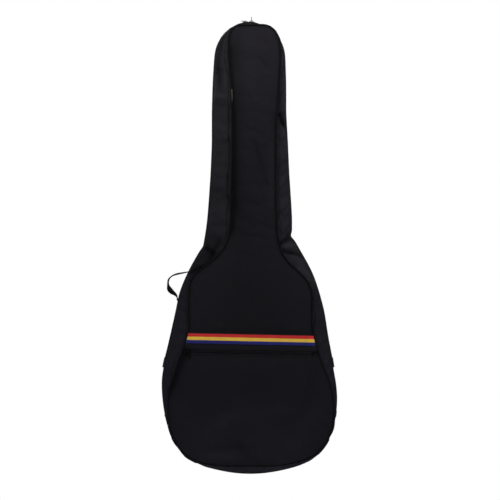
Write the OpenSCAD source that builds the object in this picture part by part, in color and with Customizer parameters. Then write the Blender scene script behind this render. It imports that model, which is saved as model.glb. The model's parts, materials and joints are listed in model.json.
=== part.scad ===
// Padded gig bag for a full-size guitar, closed and hanging from the pull of its right main slider.
// +Z is up, +X is to the right of someone who faces the striped ribbon, and the front faces -Y.
// Heights below are above the bag's lowest seam. hung() moves each finished piece so that the
// origin is the middle of the eye that the bag hangs from.

/* [Padding] */
// Half the depth of the bag at its lower bout
body_half_depth = 50; // [46:1:54]
// Half the depth of the bag at its head
head_half_depth = 34; // [31:1:38]
// Thickness of the outer cloth
cloth = 0.8; // [0.6:0.1:1]
// Thickness of the foam in the front and back panels
foam = 5; // [4:0.5:6]
// Thickness of the lining cloth
lining = 0.6; // [0.4:0.1:0.8]
// Thickness of the padded side wall
wall = 4; // [3:0.5:5]
// How far the middle of the flap bulges
crown = 6; // [2:1:8]

/* [Main zip] */
// Radius of the head, which the two main sliders run round
head_r = 82; // [80:0.5:84]
// Width of one zip tape from the middle of the zip
tape_w = 13; // [12:1:15]
// Width of one half of the coil
coil_w = 2.4; // [2:0.2:2.6]
// Bulge of the piping beside its seam
piping = 4; // [3:0.5:5]

/* [Pocket] */
// Height of the pocket zip at the middle of the bag
pocket_zip_z = 283; // [275:1:286]
// Slope of the pocket zip and ribbon, down to the right, in degrees
pocket_tilt = 1.2; // [0:0.1:2]
// Height of the striped ribbon
ribbon_h = 24; // [20:1:26]
// How far the middle of the pocket bulges
pocket_crown = 8; // [4:1:10]

/* [Hardware] */
// Radius of the eye in a slider's pull
eye_r = 2; // [1.6:0.1:2.2]
// Length of a slider along its zip
slider_len = 13; // [11:0.5:13.5]
// Width of a slider across its zip
slider_w = 11; // [10.8:0.1:11.4]
// Width of the strap and handle webbing
webbing_w = 25; // [20:1:30]
// Thickness of the webbing
webbing_t = 1.6; // [1.2:0.1:2]

/* [Hidden] */

// ---- Outlines ----
// The head of the zip line is a half circle, and the head of the front seam is a squarer arch that
// sits to the right of it, because the hanging bag is slightly twisted. The arch is squarest on
// its left.
head_x = 0;
head_z = 967;
arch_x = 10.5;
arch_z = 962;
arch_half_w = 60.5;
arch_h = 83;
left_power = 5;
right_power = 3.1;
head_rows = 10;
head_step = 90 / head_rows;

function head_row(k) = let (
    a = head_step * (k + 1),
    rise = arch_h * pow(max(0, cos(a)), 2 / right_power),
    left = arch_half_w * pow(1 - pow(rise / arch_h, left_power), 1 / left_power),
    right = arch_half_w * pow(sin(a), 2 / right_power)
) [arch_z + rise, arch_x - left, arch_x + right,
   head_z + head_r * cos(a), head_x - head_r * sin(a), head_x + head_r * sin(a)];

// Stations below the head: height and left and right edge of the front seam, then the same for
// the zip line half way round the side.
fold_z = 335;
fold_gap = 0.8;
upper_stations = [
    [910, -44, 68, 910, -87, 84],
    [840, -42, 63, 840, -89, 84],
    [770, -41, 60, 770, -89, 88],
    [700, -43, 60, 700, -92, 91],
    [640, -44, 60, 640, -96, 95],
    [590, -45, 62, 590, -100, 98],
    [560, -47, 63, 560, -104, 97],
    [535, -54, 67, 535, -108, 107],
    [510, -68, 76, 510, -122, 122],
    [488, -97, 90, 488, -135, 134],
    [466, -126, 116, 466, -146, 145],
    [448, -139, 135, 448, -154, 152],
    [420, -143, 145, 420, -165, 161],
    [402, -144, 145, 402, -168.5, 166],
    [375, -146, 144, 375, -174, 173],
    [fold_z + fold_gap / 2, -145, 144, fold_z + fold_gap / 2, -183, 179]
];
lower_stations = [
    [fold_z - fold_gap / 2, -145, 144, fold_z - fold_gap / 2, -183, 179],
    [300, -151, 152, 300, -191, 185],
    [268, -163, 162, 268, -199, 191.5],
    [246, -172, 170, 246, -203, 195],
    [215, -184, 184, 215, -205, 199],
    [175, -190, 193, 175, -204, 204],
    [130, -189, 195, 125, -196, 199],
    [90, -183, 187, 82, -182, 187],
    [57, -164, 167, 45, -156, 161],
    [36, -141, 140, 20, -112, 117],
    [25, -110, 98, 8, -71, 72],
    [19, -60, 60, 2, -34, 36]
];
rows = concat([for (k = [0 : head_rows - 1]) head_row(k)], upper_stations, lower_stations);
fold_row = head_rows + len(upper_stations) - 1;
zip_end_row = fold_row + 4;
last_row = len(rows) - 1;

// Columns across a panel, with a narrow flat border at each side for the seam
border = 0.04;
cols = [0, border, 0.25, 0.5, 0.75, 1 - border, 1];
last_col = len(cols) - 1;

// Half depth of the bag by height
depth_profile = [
    [0, body_half_depth - 6], [90, body_half_depth], [175, body_half_depth],
    [268, body_half_depth - 2], [fold_z, body_half_depth - 2], [466, body_half_depth - 4],
    [560, body_half_depth - 9], [700, head_half_depth + 4], [1050, head_half_depth]
];
function half_depth(z) = lookup(z, depth_profile);
panel_t = cloth + foam + lining;

function mix(a, b, t) = a + (b - a) * t;
function unit(v) = v / norm(v);
function hump(u) = max(0, 1 - pow((2 * u - 1) / (1 - 2 * border), 2));

// A point of the front panel's outline or inside it, by row and column, before any bulge
function front_xz(k, u) = [mix(rows[k][1], rows[k][2], u), rows[k][0]];
function front_left(z) = lookup(z, [for (r = rows) [r[0], r[1]]]);
function front_right(z) = lookup(z, [for (r = rows) [r[0], r[2]]]);
// The back panel is the front one mirrored about the middle of the zip line, and its left edge
// stays inside the zip line at the head.
function mirrored(k, column) = rows[k][4] + rows[k][5] - rows[k][column];
function back_edge(k) = let (rise = rows[k][0] - head_z)
    rise > 0 ? max(mirrored(k, 2), head_x - sqrt(head_r * head_r - rise * rise)) : mirrored(k, 2);
function back_xz(k, u) = [mix(back_edge(k), mirrored(k, 1), u), rows[k][0]];
function back_left(z) = lookup(z, [for (k = [0 : last_row]) [rows[k][0], back_xz(k, 0)[0]]]);
function zip_left(z) = lookup(z, [for (r = rows) [r[3], r[4]]]);

function flap_bulge(k, u) = let (z = rows[k][0])
    crown * hump(u) * min(1, (z - fold_z) / 90) * min(1, max(0, arch_z + arch_h - z) / 60);

// ---- Closed loops round the bag, clockwise as seen from the front ----
// A loop runs up the left column, along the top row, down the right column and back along the
// bottom row. An entry is [row, column].
loop = concat(
    [for (k = [last_row : -1 : 0]) [k, 0]],
    [for (j = [1 : last_col - 1]) [0, j]],
    [for (k = [0 : last_row]) [k, last_col]],
    [for (j = [last_col - 1 : -1 : 1]) [last_row, j]]
);
loop_n = len(loop);
left_at = function (k) last_row - k;
right_at = function (k) last_row + last_col + k;

bottom_sag = 2;
function zip_point(k, j) =
    k == 0 && j > 0 && j < last_col
        ? let (a = head_step * (2 * cols[j] - 1))
            [head_x + head_r * sin(a), 0, head_z + head_r * cos(a)]
        : [mix(rows[k][4], rows[k][5], cols[j]), 0,
           rows[k][3] - (k == last_row ? bottom_sag * hump(cols[j]) : 0)];
function front_point(k, j) = let (p = front_xz(k, cols[j])) [p[0], -half_depth(p[1]), p[1]];
function back_point(k, j) = let (p = back_xz(k, cols[j])) [p[0], half_depth(p[1]), p[1]];

zip_loop = [for (e = loop) zip_point(e[0], e[1])];
front_loop = [for (e = loop) front_point(e[0], e[1])];
back_loop = [for (e = loop) back_point(e[0], e[1])];

// Inward normals in the plane of the bag. They are level where a wall or tape is cut, so that
// each cut is flat.
cut_rows = [fold_row, fold_row + 1, zip_end_row - 1, zip_end_row];
function inward(pts) = [for (i = [0 : loop_n - 1]) let (
    d = pts[(i + 1) % loop_n] - pts[(i + loop_n - 1) % loop_n],
    is_cut = len(search(loop[i][0], cut_rows)) > 0
) unit([d[2], 0, is_cut ? 0 : -d[0]])];
zip_in = inward(zip_loop);
front_in = inward(front_loop);
back_in = inward(back_loop);

// ---- Solids from rings and grids ----
// Each ring is clockwise seen along the travel. It goes out along one side of the section and comes
// back along the other, so that the end caps are strips between the two. rank picks the diagonal
// of each side face, so that two pieces which share a face cut it the same way.
function cap(m) = [for (j = [0 : ceil(m / 2) - 2]) each
    concat([[j, j + 1, m - 1 - j]], m - 2 - j > j + 1 ? [[j + 1, m - 2 - j, m - 1 - j]] : [])];
module sweep(rings, rank, closed = false) {
    n = len(rings);
    m = len(rings[0]);
    function id(i, j) = (i % n) * m + (j % m);
    sides = [for (i = [0 : n - (closed ? 1 : 2)]) for (j = [0 : m - 1])
        each rank[j] <= rank[(j + 1) % m]
            ? [[id(i, j), id(i + 1, j), id(i + 1, j + 1)], [id(i, j), id(i + 1, j + 1), id(i, j + 1)]]
            : [[id(i, j), id(i + 1, j), id(i, j + 1)], [id(i + 1, j), id(i + 1, j + 1), id(i, j + 1)]]];
    ends = closed ? [] : concat(cap(m), [for (f = cap(m)) [for (i = [2, 1, 0]) id(n - 1, f[i])]]);
    polyhedron([for (r = rings) each r], concat(sides, ends), convexity = 8);
}

// The solid between a grid of points and the grid behind it
module slab(front, back) {
    nr = len(front);
    nc = len(front[0]);
    n = nr * nc;
    function id(k, j) = k * nc + j;
    faces = [for (k = [0 : nr - 2]) for (j = [0 : nc - 2]) let (
        a = id(k, j), b = id(k, j + 1), c = id(k + 1, j + 1), d = id(k + 1, j)
    ) each [[a, b, c], [a, c, d], [n + a, n + c, n + b], [n + a, n + d, n + c]]];
    rim = concat(
        [for (j = [0 : nc - 2]) id(0, j)], [for (k = [0 : nr - 2]) id(k, nc - 1)],
        [for (j = [nc - 1 : -1 : 1]) id(nr - 1, j)], [for (k = [nr - 1 : -1 : 1]) id(k, 0)]
    );
    walls = [for (i = [0 : len(rim) - 1]) let (a = rim[i], b = rim[(i + 1) % len(rim)])
        each [[a, n + a, n + b], [a, n + b, b]]];
    polyhedron(concat([for (r = front) each r], [for (r = back) each r]),
               concat(faces, walls), convexity = 8);
}

// ---- The side wall between the zip line and a seam ----
// side is -1 for the front half and 1 for the back half. across() is the point of the wall's
// outer face at a distance w from the middle of the zip: level as far as flat_w, so that the
// sliders run on a flat tape, and then straight to the seam.
flat_w = 7;
at_seam = 999;
function seam_point(i, side) = side < 0 ? front_loop[i] : back_loop[i];
function across(i, side, w) = let (
    edge = zip_loop[i] + [0, side * min(w, flat_w), 0],
    seam = seam_point(i, side) - [0, side * panel_t, 0]
) w <= flat_w ? edge : w == at_seam ? seam : edge + unit(seam - edge) * (w - flat_w);
function wall_point(i, side, w, t) = across(i, side, w)
    + t * (w == at_seam ? (side < 0 ? front_in[i] : back_in[i]) : zip_in[i]);

// Sweeps a section of [w, t] pairs along a stretch of the loop. t is the depth below the outer
// face. The section is given for the front half and turned round for the back half.
module band(stretch, side, section) {
    s = side < 0 ? section : [for (i = [len(section) - 1 : -1 : 0]) section[i]];
    sweep([for (i = stretch) [for (p = s) wall_point(i % loop_n, side, p[0], p[1])]],
          [for (p = s) p[0]], closed = len(stretch) == loop_n);
}
whole_loop = [for (i = [0 : loop_n - 1]) i];
flap_loop = [for (i = [left_at(fold_row) : right_at(fold_row)]) i];
lower_loop = [for (i = [right_at(fold_row + 1) : loop_n + left_at(fold_row + 1)]) i];
zip_stretch = [for (i = [left_at(zip_end_row) : right_at(zip_end_row)]) i];
bottom_stretch = [for (i = [right_at(zip_end_row) : loop_n + left_at(zip_end_row)]) i];
lower_zip_left = [for (i = [left_at(zip_end_row) : left_at(fold_row + 1)]) i];
lower_zip_right = [for (i = [right_at(fold_row + 1) : right_at(zip_end_row)]) i];

tape_t = 1;
coil_gap = 1.2;
coil_t = 3;
coil_edge = coil_gap + coil_w;
gusset_section = [[flat_w, 0], [tape_w, 0], [at_seam, 0], [at_seam, wall], [flat_w, wall]];
tape_section = [
    [coil_edge, -tape_t], [flat_w, -tape_t], [tape_w, -tape_t],
    [tape_w, 0], [flat_w, 0], [coil_edge, 0]
];
coil_section = [
    [coil_gap, -(coil_t + tape_t) / 2], [coil_edge, -(coil_t + tape_t) / 2],
    [coil_edge, (coil_t - tape_t) / 2], [coil_gap, (coil_t - tape_t) / 2]
];

// Piping lies against the edge of a panel, outside its seam
module piping_band(stretch, side) {
    pts = side < 0 ? front_loop : back_loop;
    inn = side < 0 ? front_in : back_in;
    profile = [[0, piping + 1], [piping * 0.65, piping + 0.6], [piping, piping * 0.4],
               [piping * 0.6, -0.8], [0, 0]];
    s = side < 0 ? profile : [for (i = [len(profile) - 1 : -1 : 0]) profile[i]];
    sweep([for (i = stretch) let (m = i % loop_n)
              [for (p = s) pts[m] - inn[m] * p[0] - [0, side * p[1], 0]]],
          [for (p = s) p[1]], closed = len(stretch) == loop_n);
}

// ---- Panels, in layers from the outside in ----
function flap_grid(depth) = [for (k = [0 : fold_row]) [for (u = cols)
    let (p = front_xz(k, u)) [p[0], depth - half_depth(p[1]) - flap_bulge(k, u), p[1]]]];
function lower_grid(depth) = [for (k = [fold_row + 1 : last_row]) [for (u = cols)
    let (p = front_xz(k, u)) [p[0], depth - half_depth(p[1]), p[1]]]];
function back_grid(depth) = [for (k = [0 : last_row]) [for (u = cols)
    let (p = back_xz(k, u)) [p[0], half_depth(p[1]) - depth, p[1]]]];

// ---- Place of the hanging eye ----
track_r = head_r + tape_t / 2;
slider_angle_left = -7.2;
slider_angle_right = 2.5;
plate_top = 3.6;
pivot_h = plate_top + 0.8;
eye_up = 6.4;
function on_track(angle, h) =
    [head_x + (track_r + h) * sin(angle), 0, head_z + (track_r + h) * cos(angle)];
eye = on_track(slider_angle_right, pivot_h) + [0, 0, eye_up];
module hung() translate(-eye) children();

// ---- Back of the bag ----
module back_shell() color("#1c1a1f") hung() slab(back_grid(cloth), back_grid(0));
module back_foam() color("#5b5b60") hung() slab(back_grid(cloth + foam), back_grid(cloth));
module back_lining() color("#26262c") hung() slab(back_grid(panel_t), back_grid(cloth + foam));
module back_gusset() color("#201f24") hung() band(zip_stretch, 1, gusset_section);
module back_piping() color("#121214") hung() piping_band(whole_loop, 1);
module back_zip_tape() color("#17171a") hung() band(zip_stretch, 1, tape_section);
module back_zip_coil() color("#2e2e33") hung() band(zip_stretch, 1, coil_section);

// ---- Lower front, which stays on the back when the flap opens ----
module lower_front_shell() color("#1c1a1f") hung() slab(lower_grid(0), lower_grid(cloth));
module lower_front_foam() color("#5b5b60") hung() slab(lower_grid(cloth), lower_grid(cloth + foam));
module lower_front_lining() color("#26262c") hung()
    slab(lower_grid(cloth + foam), lower_grid(panel_t));
// Front half of the side wall between the fold and the lower ends of the zip
module lower_gusset() color("#201f24") hung() {
    band(lower_zip_left, -1, gusset_section);
    band(lower_zip_right, -1, gusset_section);
}
// Below the zip, one wall runs from seam to seam under the bag
module bottom_gusset() color("#201f24") hung() {
    section = [[1, at_seam, 0], [1, flat_w, 0], [-1, flat_w, 0], [-1, at_seam, 0],
               [-1, at_seam, wall], [-1, flat_w, wall], [1, flat_w, wall], [1, at_seam, wall]];
    sweep([for (i = bottom_stretch) [for (p = section) wall_point(i % loop_n, p[0], p[1], p[2])]],
          [for (p = section) -p[0] * p[1]]);
}
module lower_piping() color("#121214") hung() piping_band(lower_loop, -1);
module lower_zip_tape() color("#17171a") hung() {
    band(lower_zip_left, -1, tape_section);
    band(lower_zip_right, -1, tape_section);
}
module lower_zip_coil() color("#2e2e33") hung() {
    band(lower_zip_left, -1, coil_section);
    band(lower_zip_right, -1, coil_section);
}

// ---- Flap ----
module flap_shell() color("#1c1a1f") hung() slab(flap_grid(0), flap_grid(cloth));
module flap_foam() color("#5b5b60") hung() slab(flap_grid(cloth), flap_grid(cloth + foam));
module flap_lining() color("#26262c") hung() slab(flap_grid(cloth + foam), flap_grid(panel_t));
module flap_gusset() color("#201f24") hung() band(flap_loop, -1, gusset_section);
module flap_piping() color("#121214") hung() piping_band(flap_loop, -1);
module flap_zip_tape() color("#17171a") hung() band(flap_loop, -1, tape_section);
// The flap's half of the coil stops on each side of the closed sliders, so that it can lift out
module flap_zip_coil() color("#2e2e33") hung() {
    band([for (i = [left_at(fold_row) : left_at(1)]) i], -1, coil_section);
    band([for (i = [right_at(1) : right_at(fold_row)]) i], -1, coil_section);
}
// A blank folded tag caught in the left neck seam
module seam_tag() color("#a5a5a8") hung() {
    tag_z = 867;
    tag_h = 28;
    tag_x = front_left(tag_z) + 0.3;
    tag_w = 3.5;
    grid = function (proud) [for (z = [tag_z + tag_h, tag_z]) [for (x = [tag_x, tag_x + tag_w])
        [x, -half_depth(z) - proud, z]]];
    slab(grid(cloth), grid(0));
}

// ---- Tabs over the lower ends of the main zip ----
// One section from the back half to the front half, which steps over the coil, runs straight from
// place i of the loop up towards the next place, which is i + up.
tab_t = 0.8;
tab_gap = 0.1;
module zip_tab(i, up) {
    over_tape = tape_t + tab_gap;
    over_coil = (coil_t + tape_t) / 2;
    half = function (d) [[tape_w + 2, over_tape + d], [flat_w, over_tape + d],
                         [coil_edge + d, over_tape + d], [coil_edge + d, over_coil + d]];
    face = function (d) concat([for (p = half(d)) [1, p[0], p[1]]],
                               [for (i = [3 : -1 : 0]) let (p = half(d)[i]) [-1, p[0], p[1]]]);
    section = concat(face(tab_t), [for (i = [7 : -1 : 0]) face(0)[i]]);
    ring = [for (p = section) wall_point(i, p[0], p[1], -p[2])];
    moved = [for (p = ring) p + zip_loop[i + up] - zip_loop[i]];
    sweep(up > 0 ? [ring, moved] : [moved, ring], [for (p = section) 0]);
}
module zip_tab_left() color("#2b2b30") hung() zip_tab(left_at(zip_end_row), 1);
module zip_tab_right() color("#2b2b30") hung() zip_tab(right_at(zip_end_row), -1);

// ---- Pocket on the lower front ----
// The pocket's cloth stands off the padded panel by pocket_gap, and is thick at the seams.
pocket_gap = 5.25;
pocket_t = 1.25;
pocket_lip = 6.5;
ribbon_top_z = 325;
header_top_z = 327;
pocket_y = -half_depth(pocket_zip_z);

// A level line at height z in the middle of the bag, sloped with the pocket zip
function sloped(z, u) = let (
    rise = 150 * tan(pocket_tilt),
    x = mix(front_left(z + rise), front_right(z - rise), u)
) [x, z - x * tan(pocket_tilt)];
pocket_mouth_z = pocket_zip_z - pocket_lip;
function pocket_bulge(z, u) = pocket_crown * hump(u)
    * sin(180 * max(0, min(1, (pocket_mouth_z - z) / (pocket_mouth_z - rows[last_row][0]))));
pocket_rows = concat(
    [[for (u = cols) sloped(pocket_mouth_z, u)]],
    [for (k = [zip_end_row - 1 : last_row]) [for (u = cols) front_xz(k, u)]]
);
function stand_off(k, j, k_seam) = j == 0 || j == last_col || k == k_seam ? 0 : pocket_gap;
module pocket_panel() color("#18171b") hung() {
    n = len(pocket_rows) - 1;
    outer = [for (k = [0 : n]) [for (j = [0 : last_col]) let (p = pocket_rows[k][j])
        [p[0], -half_depth(p[1]) - pocket_gap - pocket_t - pocket_bulge(p[1], cols[j]), p[1]]]];
    inner = [for (k = [0 : n]) [for (j = [0 : last_col]) let (p = pocket_rows[k][j])
        [p[0], -half_depth(p[1]) - stand_off(k, j, n) - pocket_bulge(p[1], cols[j]), p[1]]]];
    slab(outer, inner);
}
// The strip between the ribbon and the pocket zip
header_rows = [for (z = [header_top_z, header_top_z - 5, pocket_zip_z + pocket_lip])
    [for (u = cols) sloped(z, u)]];
module pocket_header() color("#1c1a1f") hung() {
    slab([for (r = header_rows) [for (p = r) [p[0], pocket_y - pocket_gap - pocket_t, p[1]]]],
         [for (k = [0 : 2]) [for (j = [0 : last_col]) let (p = header_rows[k][j])
             [p[0], pocket_y - stand_off(k, j, 0), p[1]]]]);
}
// One woven ribbon with three stripes
ribbon_t = 1;
module ribbon() color("#b04038") hung() {
    face = pocket_y - pocket_gap - pocket_t;
    edges = [for (z = [ribbon_top_z, ribbon_top_z - ribbon_h]) [for (u = cols) sloped(z, u)]];
    slab([for (r = edges) [for (p = r) [p[0], face - ribbon_t, p[1]]]],
         [for (r = edges) [for (p = r) [p[0], face, p[1]]]]);
}
// Frame of the pocket zip: X along it, Y up across it and Z out towards the wearer's view
pocket_zip_len = 286;
module along_pocket_zip(x = 0)
    translate([0, pocket_y - pocket_gap + tape_t / 2, pocket_zip_z])
        rotate([0, pocket_tilt, 0]) translate([x, 0, 0]) rotate([90, 0, 0]) children();
module pocket_strip(from, to, thick)
    along_pocket_zip() translate([-pocket_zip_len / 2, from, -thick / 2])
        cube([pocket_zip_len, to - from, thick]);
module pocket_tape_upper() color("#17171a") hung() pocket_strip(coil_edge, tape_w, tape_t);
module pocket_tape_lower() color("#17171a") hung() pocket_strip(-tape_w, -coil_edge, tape_t);
module pocket_coil_upper() color("#2e2e33") hung() pocket_strip(coil_gap, coil_edge, coil_t);
module pocket_coil_lower() color("#2e2e33") hung() pocket_strip(-coil_edge, -coil_gap, coil_t);

// ---- Zip slider ----
// X runs along the zip with the nose at +X, Y across it, and Z outward. Two plates joined by the
// wedge carry side rails that leave a slot for the tapes. The pull's bar lies under the bridge.
plate_t = 1.2;
rail_w = 1.2;
slot_half = 1.1;
bridge_len = 6;
bridge_w = 2.4;
bridge_h = 2.6;
bridge_t = 1;
wedge_w = 1.8;
module slider_outline() intersection() {
    square([slider_len, slider_w], center = true);
    translate([1, 0]) circle(r = slider_len * 0.56, $fn = 48);
}
module slider() {
    for (flip = [0, 1]) mirror([0, 0, flip]) {
        translate([0, 0, plate_top - plate_t]) linear_extrude(plate_t) slider_outline();
        translate([0, 0, slot_half]) linear_extrude(plate_top - slot_half) difference() {
            slider_outline();
            square([2 * slider_len, slider_w - 2 * rail_w], center = true);
        }
    }
    translate([slider_len / 2 - 3.2, 0, 0]) linear_extrude(2 * plate_top, center = true) {
        circle(d = wedge_w, $fn = 24);
        translate([0, -wedge_w / 2]) square([2, wedge_w]);
    }
    translate([0, bridge_w / 2, plate_top]) rotate([90, 0, 0]) linear_extrude(bridge_w)
        difference() {
            union() {
                translate([-bridge_len / 2, 0]) square([bridge_len, bridge_h - bridge_t]);
                translate([bridge_t - bridge_len / 2, 0])
                    square([bridge_len - 2 * bridge_t, bridge_h]);
                for (x = [-1, 1]) translate([x * (bridge_len / 2 - bridge_t), bridge_h - bridge_t])
                    circle(r = bridge_t, $fn = 32);
            }
            translate([bridge_t - bridge_len / 2, 0])
                square([bridge_len - 2 * bridge_t, bridge_h - bridge_t]);
        }
}
module main_slider(angle, nose)
    translate([head_x, 0, head_z]) rotate([0, angle, 0]) translate([0, 0, track_r])
        mirror([nose < 0 ? 1 : 0, 0, 0]) slider();
module slider_left() color("#3a3a3e") hung() main_slider(slider_angle_left, 1);
module slider_right() color("#3a3a3e") hung() main_slider(slider_angle_right, -1);

// ---- Pull ----
// The pull stands along +Z from the middle of its bar. Its window clears the bridge, and its eye
// is at reach.
pull_w = 7.2;
pull_t = 1.4;
window_w = 3.2;
window_top = 3.7;
module pull(reach) {
    rotate([90, 0, 0]) cylinder(h = pull_w, d = pull_t, center = true, $fn = 32);
    rotate([90, 0, 90]) linear_extrude(pull_t, center = true) difference() {
        union() {
            translate([-pull_w / 2, 0]) square([pull_w, reach]);
            translate([0, reach]) circle(d = pull_w, $fn = 48);
        }
        translate([0, reach]) circle(r = eye_r, $fn = 48);
        translate([-window_w / 2, 0]) square([window_w, window_top]);
        translate([-pull_w / 2 - 1, -1]) square([pull_w + 2, 1]);
    }
}
pull_lying = -78;
module pull_left() color("#3a3a3e") hung()
    translate(on_track(slider_angle_left, pivot_h))
        rotate([0, slider_angle_left + pull_lying, 0]) pull(eye_up);
module pull_right() color("#3a3a3e") hung()
    translate(on_track(slider_angle_right, pivot_h)) pull(eye_up);

// ---- Pocket slider, closed at the left end ----
// Its longer pull hangs flat: one side of the window lies under the bridge, and the bridge's
// right leg stands in the window.
pocket_slider_x = -144;
pocket_pull_reach = 14.8;
pocket_pull_place = [3.2, 2, pivot_h];
module pocket_slider() color("#3a3a3e") hung()
    along_pocket_zip(pocket_slider_x) mirror([1, 0, 0]) slider();
module pocket_pull() color("#2c2c30") hung()
    along_pocket_zip(pocket_slider_x) translate(pocket_pull_place)
        rotate([0, 90, 0]) rotate([90, 0, 0]) pull(pocket_pull_reach);

// ---- Webbing ----
// Sweeps a flat strip along a path, with its width along the given directions
function path_dir(p, i) = unit(p[min(i + 1, len(p) - 1)] - p[max(i - 1, 0)]);
module strip(path, across_dirs, width, thick) {
    rings = [for (i = [0 : len(path) - 1]) let (
        d = path_dir(path, i),
        a = across_dirs[i],
        up = unit(cross(a, d)),
        w = unit(cross(d, up)) * width[i] / 2,
        t = up * thick[i] / 2,
        soft = 0.7
    ) [path[i] - w - t * 0.4, path[i] - w * soft + t * -1, path[i] + w * soft - t,
       path[i] + w - t * 0.4, path[i] + w + t * 0.4, path[i] + w * soft + t,
       path[i] - w * soft + t, path[i] - w + t * 0.4]];
    sweep(rings, [0, 1, 2, 3, 3, 2, 1, 0]);
}
// Points between hand-chosen ones on a smooth curve through them
function smooth(p, steps) = concat([for (i = [0 : len(p) - 2]) let (
    a = p[max(i - 1, 0)], b = p[i], c = p[i + 1], d = p[min(i + 2, len(p) - 1)]
) for (s = [0 : steps - 1]) let (t = s / steps)
    b + (c - a) * t / 2 + (2 * a - 5 * b + 4 * c - d) * t * t / 2
    + (3 * b - a - 3 * c + d) * t * t * t / 2], [p[len(p) - 1]]);

// ---- Carry handle on the back half of the left side ----
handle_w = 24;
handle_top_z = 468;
handle_low_z = 402;
// Direction across the wall from the zip to the back seam, and a point of the wall at a distance w
// from the middle of the zip and raised by h
function wall_dir(z) = unit([back_left(z) - zip_left(z), half_depth(z) - panel_t - flat_w, 0]);
function left_wall(z, w, h) = [zip_left(z), flat_w, z] + wall_dir(z) * (w - flat_w)
    + cross([0, 0, 1], wall_dir(z)) * h;
module handle_patch(z) {
    half = 11;
    grid = function (h) [for (dz = [half, -half]) [for (w = [handle_w - 8, handle_w + 8])
        left_wall(z + dz, w, h)]];
    slab(grid(0), grid(webbing_t));
}
module handle_patch_upper() color("#232327") hung() handle_patch(handle_top_z);
module handle_patch_lower() color("#232327") hung() handle_patch(handle_low_z);
handle_ends = 4.9;
handle_bend = 10;
handle_narrowing = 0.64;
handle_path = [
    left_wall(handle_top_z, handle_w, handle_ends), left_wall(handle_top_z, handle_w, handle_bend),
    [-154, 23, 467], [-172, 20, 463], [-184, 20, 458.5], [-190, 21, 450], [-190.5, 22, 439],
    [-189, 22, 428], [-181, 23, 419.5], [-172.5, 26, 411], left_wall(handle_low_z, handle_w, handle_bend),
    left_wall(handle_low_z, handle_w, handle_ends)
];
// Twist in degrees and share of the full width, by point: the ends are folded narrow
handle_form = [[0, 0.5], [0, 0.6], [0, 1], [0, 1], [5, 1], [15, 1], [32, 1], [48, 1], [42, 1],
               [18, 1], [0, 0.6], [0, 0.5]];
module carry_handle() color("#1b1b1e") hung() {
    fine = smooth(handle_path, 2);
    form = smooth([for (f = handle_form) [f[0], f[1], 0]], 2);
    n = len(fine) - 1;
    level = function (i) i < 3 ? wall_dir(handle_top_z) : i > n - 3 ? wall_dir(handle_low_z) : [0, 1, 0];
    strip(fine,
          [for (i = [0 : n]) let (side = unit(cross(level(i), path_dir(fine, i))))
              level(i) * cos(form[i][0]) + side * sin(form[i][0])],
          [for (f = form) webbing_w * handle_narrowing * f[1]], [for (p = fine) 2]);
}

// ---- Shoulder straps on the back ----
yoke_z = 518;
yoke_size = [84, 1.6, 34];
strap_top = 16;
web_top = [104, 16, 236];
web_end = [158, 2.6, 124];
wing_t = 3;
back_slope = atan(5 / 94);
function off_back(p) = [p[0], half_depth(p[2]) + p[1], p[2]];
module strap_yoke() color("#232327") hung()
    translate([-6, half_depth(yoke_z), yoke_z]) rotate([back_slope, 0, 0])
        translate([-yoke_size[0] / 2, 0, -yoke_size[2] / 2]) cube(yoke_size);
strap_path = [[strap_top, 4, 527], [strap_top + 4, 4.3, 508], [27, 9, 470], [42, 18, 420],
              [58, 24, 370], [76, 25, 315], [92, 21, 268], web_top];
strap_half_w = [34, 38, 50, 58, 60, 58, 48, 36];
strap_thick = [5, 5.5, 7, 8, 8, 8, 7, 5];
module strap_pad(side) {
    path = [for (p = smooth([for (q = strap_path) off_back(q)], 2)) [side * p[0] - (side < 0 ? 12 : 0)
        * max(0, (p[2] - 400) / 130), p[1], p[2]]];
    size = smooth([for (i = [0 : len(strap_path) - 1]) [strap_half_w[i], strap_thick[i], 0]], 2);
    strip(path, [for (i = [0 : len(path) - 1]) cross(path_dir(path, i), [0, 1, 0])],
          [for (s = size) s[0]], [for (s = size) s[1]]);
}
module strap_pad_left() color("#1d1c20") hung() strap_pad(-1);
module strap_pad_right() color("#1d1c20") hung() strap_pad(1);

// Frame along a strap's webbing: X down the webbing, Y across it and Z away from the back
web_a = off_back(web_top);
web_b = off_back(web_end);
web_len = norm(web_b - web_a);
web_lean = atan2(web_b[0] - web_a[0], web_a[2] - web_b[2]);
web_pitch = asin((web_a[1] - web_b[1]) / web_len);
module along_web(side, x = 0) mirror([side < 0 ? 1 : 0, 0, 0])
    translate(web_a) rotate([0, 90 - web_lean, 0]) rotate([0, 0, -web_pitch])
        translate([x, 0, 0]) rotate([-90, 0, 0]) children();
module strap_web(side) along_web(side)
    translate([-6, -webbing_w / 2, -webbing_t / 2]) cube([web_len + 10, webbing_w, webbing_t]);
module strap_web_left() color("#232327") hung() strap_web(-1);
module strap_web_right() color("#232327") hung() strap_web(1);
// A doubled cloth wing sewn to the back's edge holds the end of the webbing
module strap_wing(side) translate([0, half_depth(130) + wing_t, 0]) rotate([90, 0, 0])
    linear_extrude(wing_t) polygon([
        [side * 184, 158], [side * 184, 96], [side * 166, 98], [side * 140, 120], [side * 142, 142]
    ]);
module strap_wing_left() color("#232327") hung() strap_wing(-1);
module strap_wing_right() color("#232327") hung() strap_wing(1);

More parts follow.
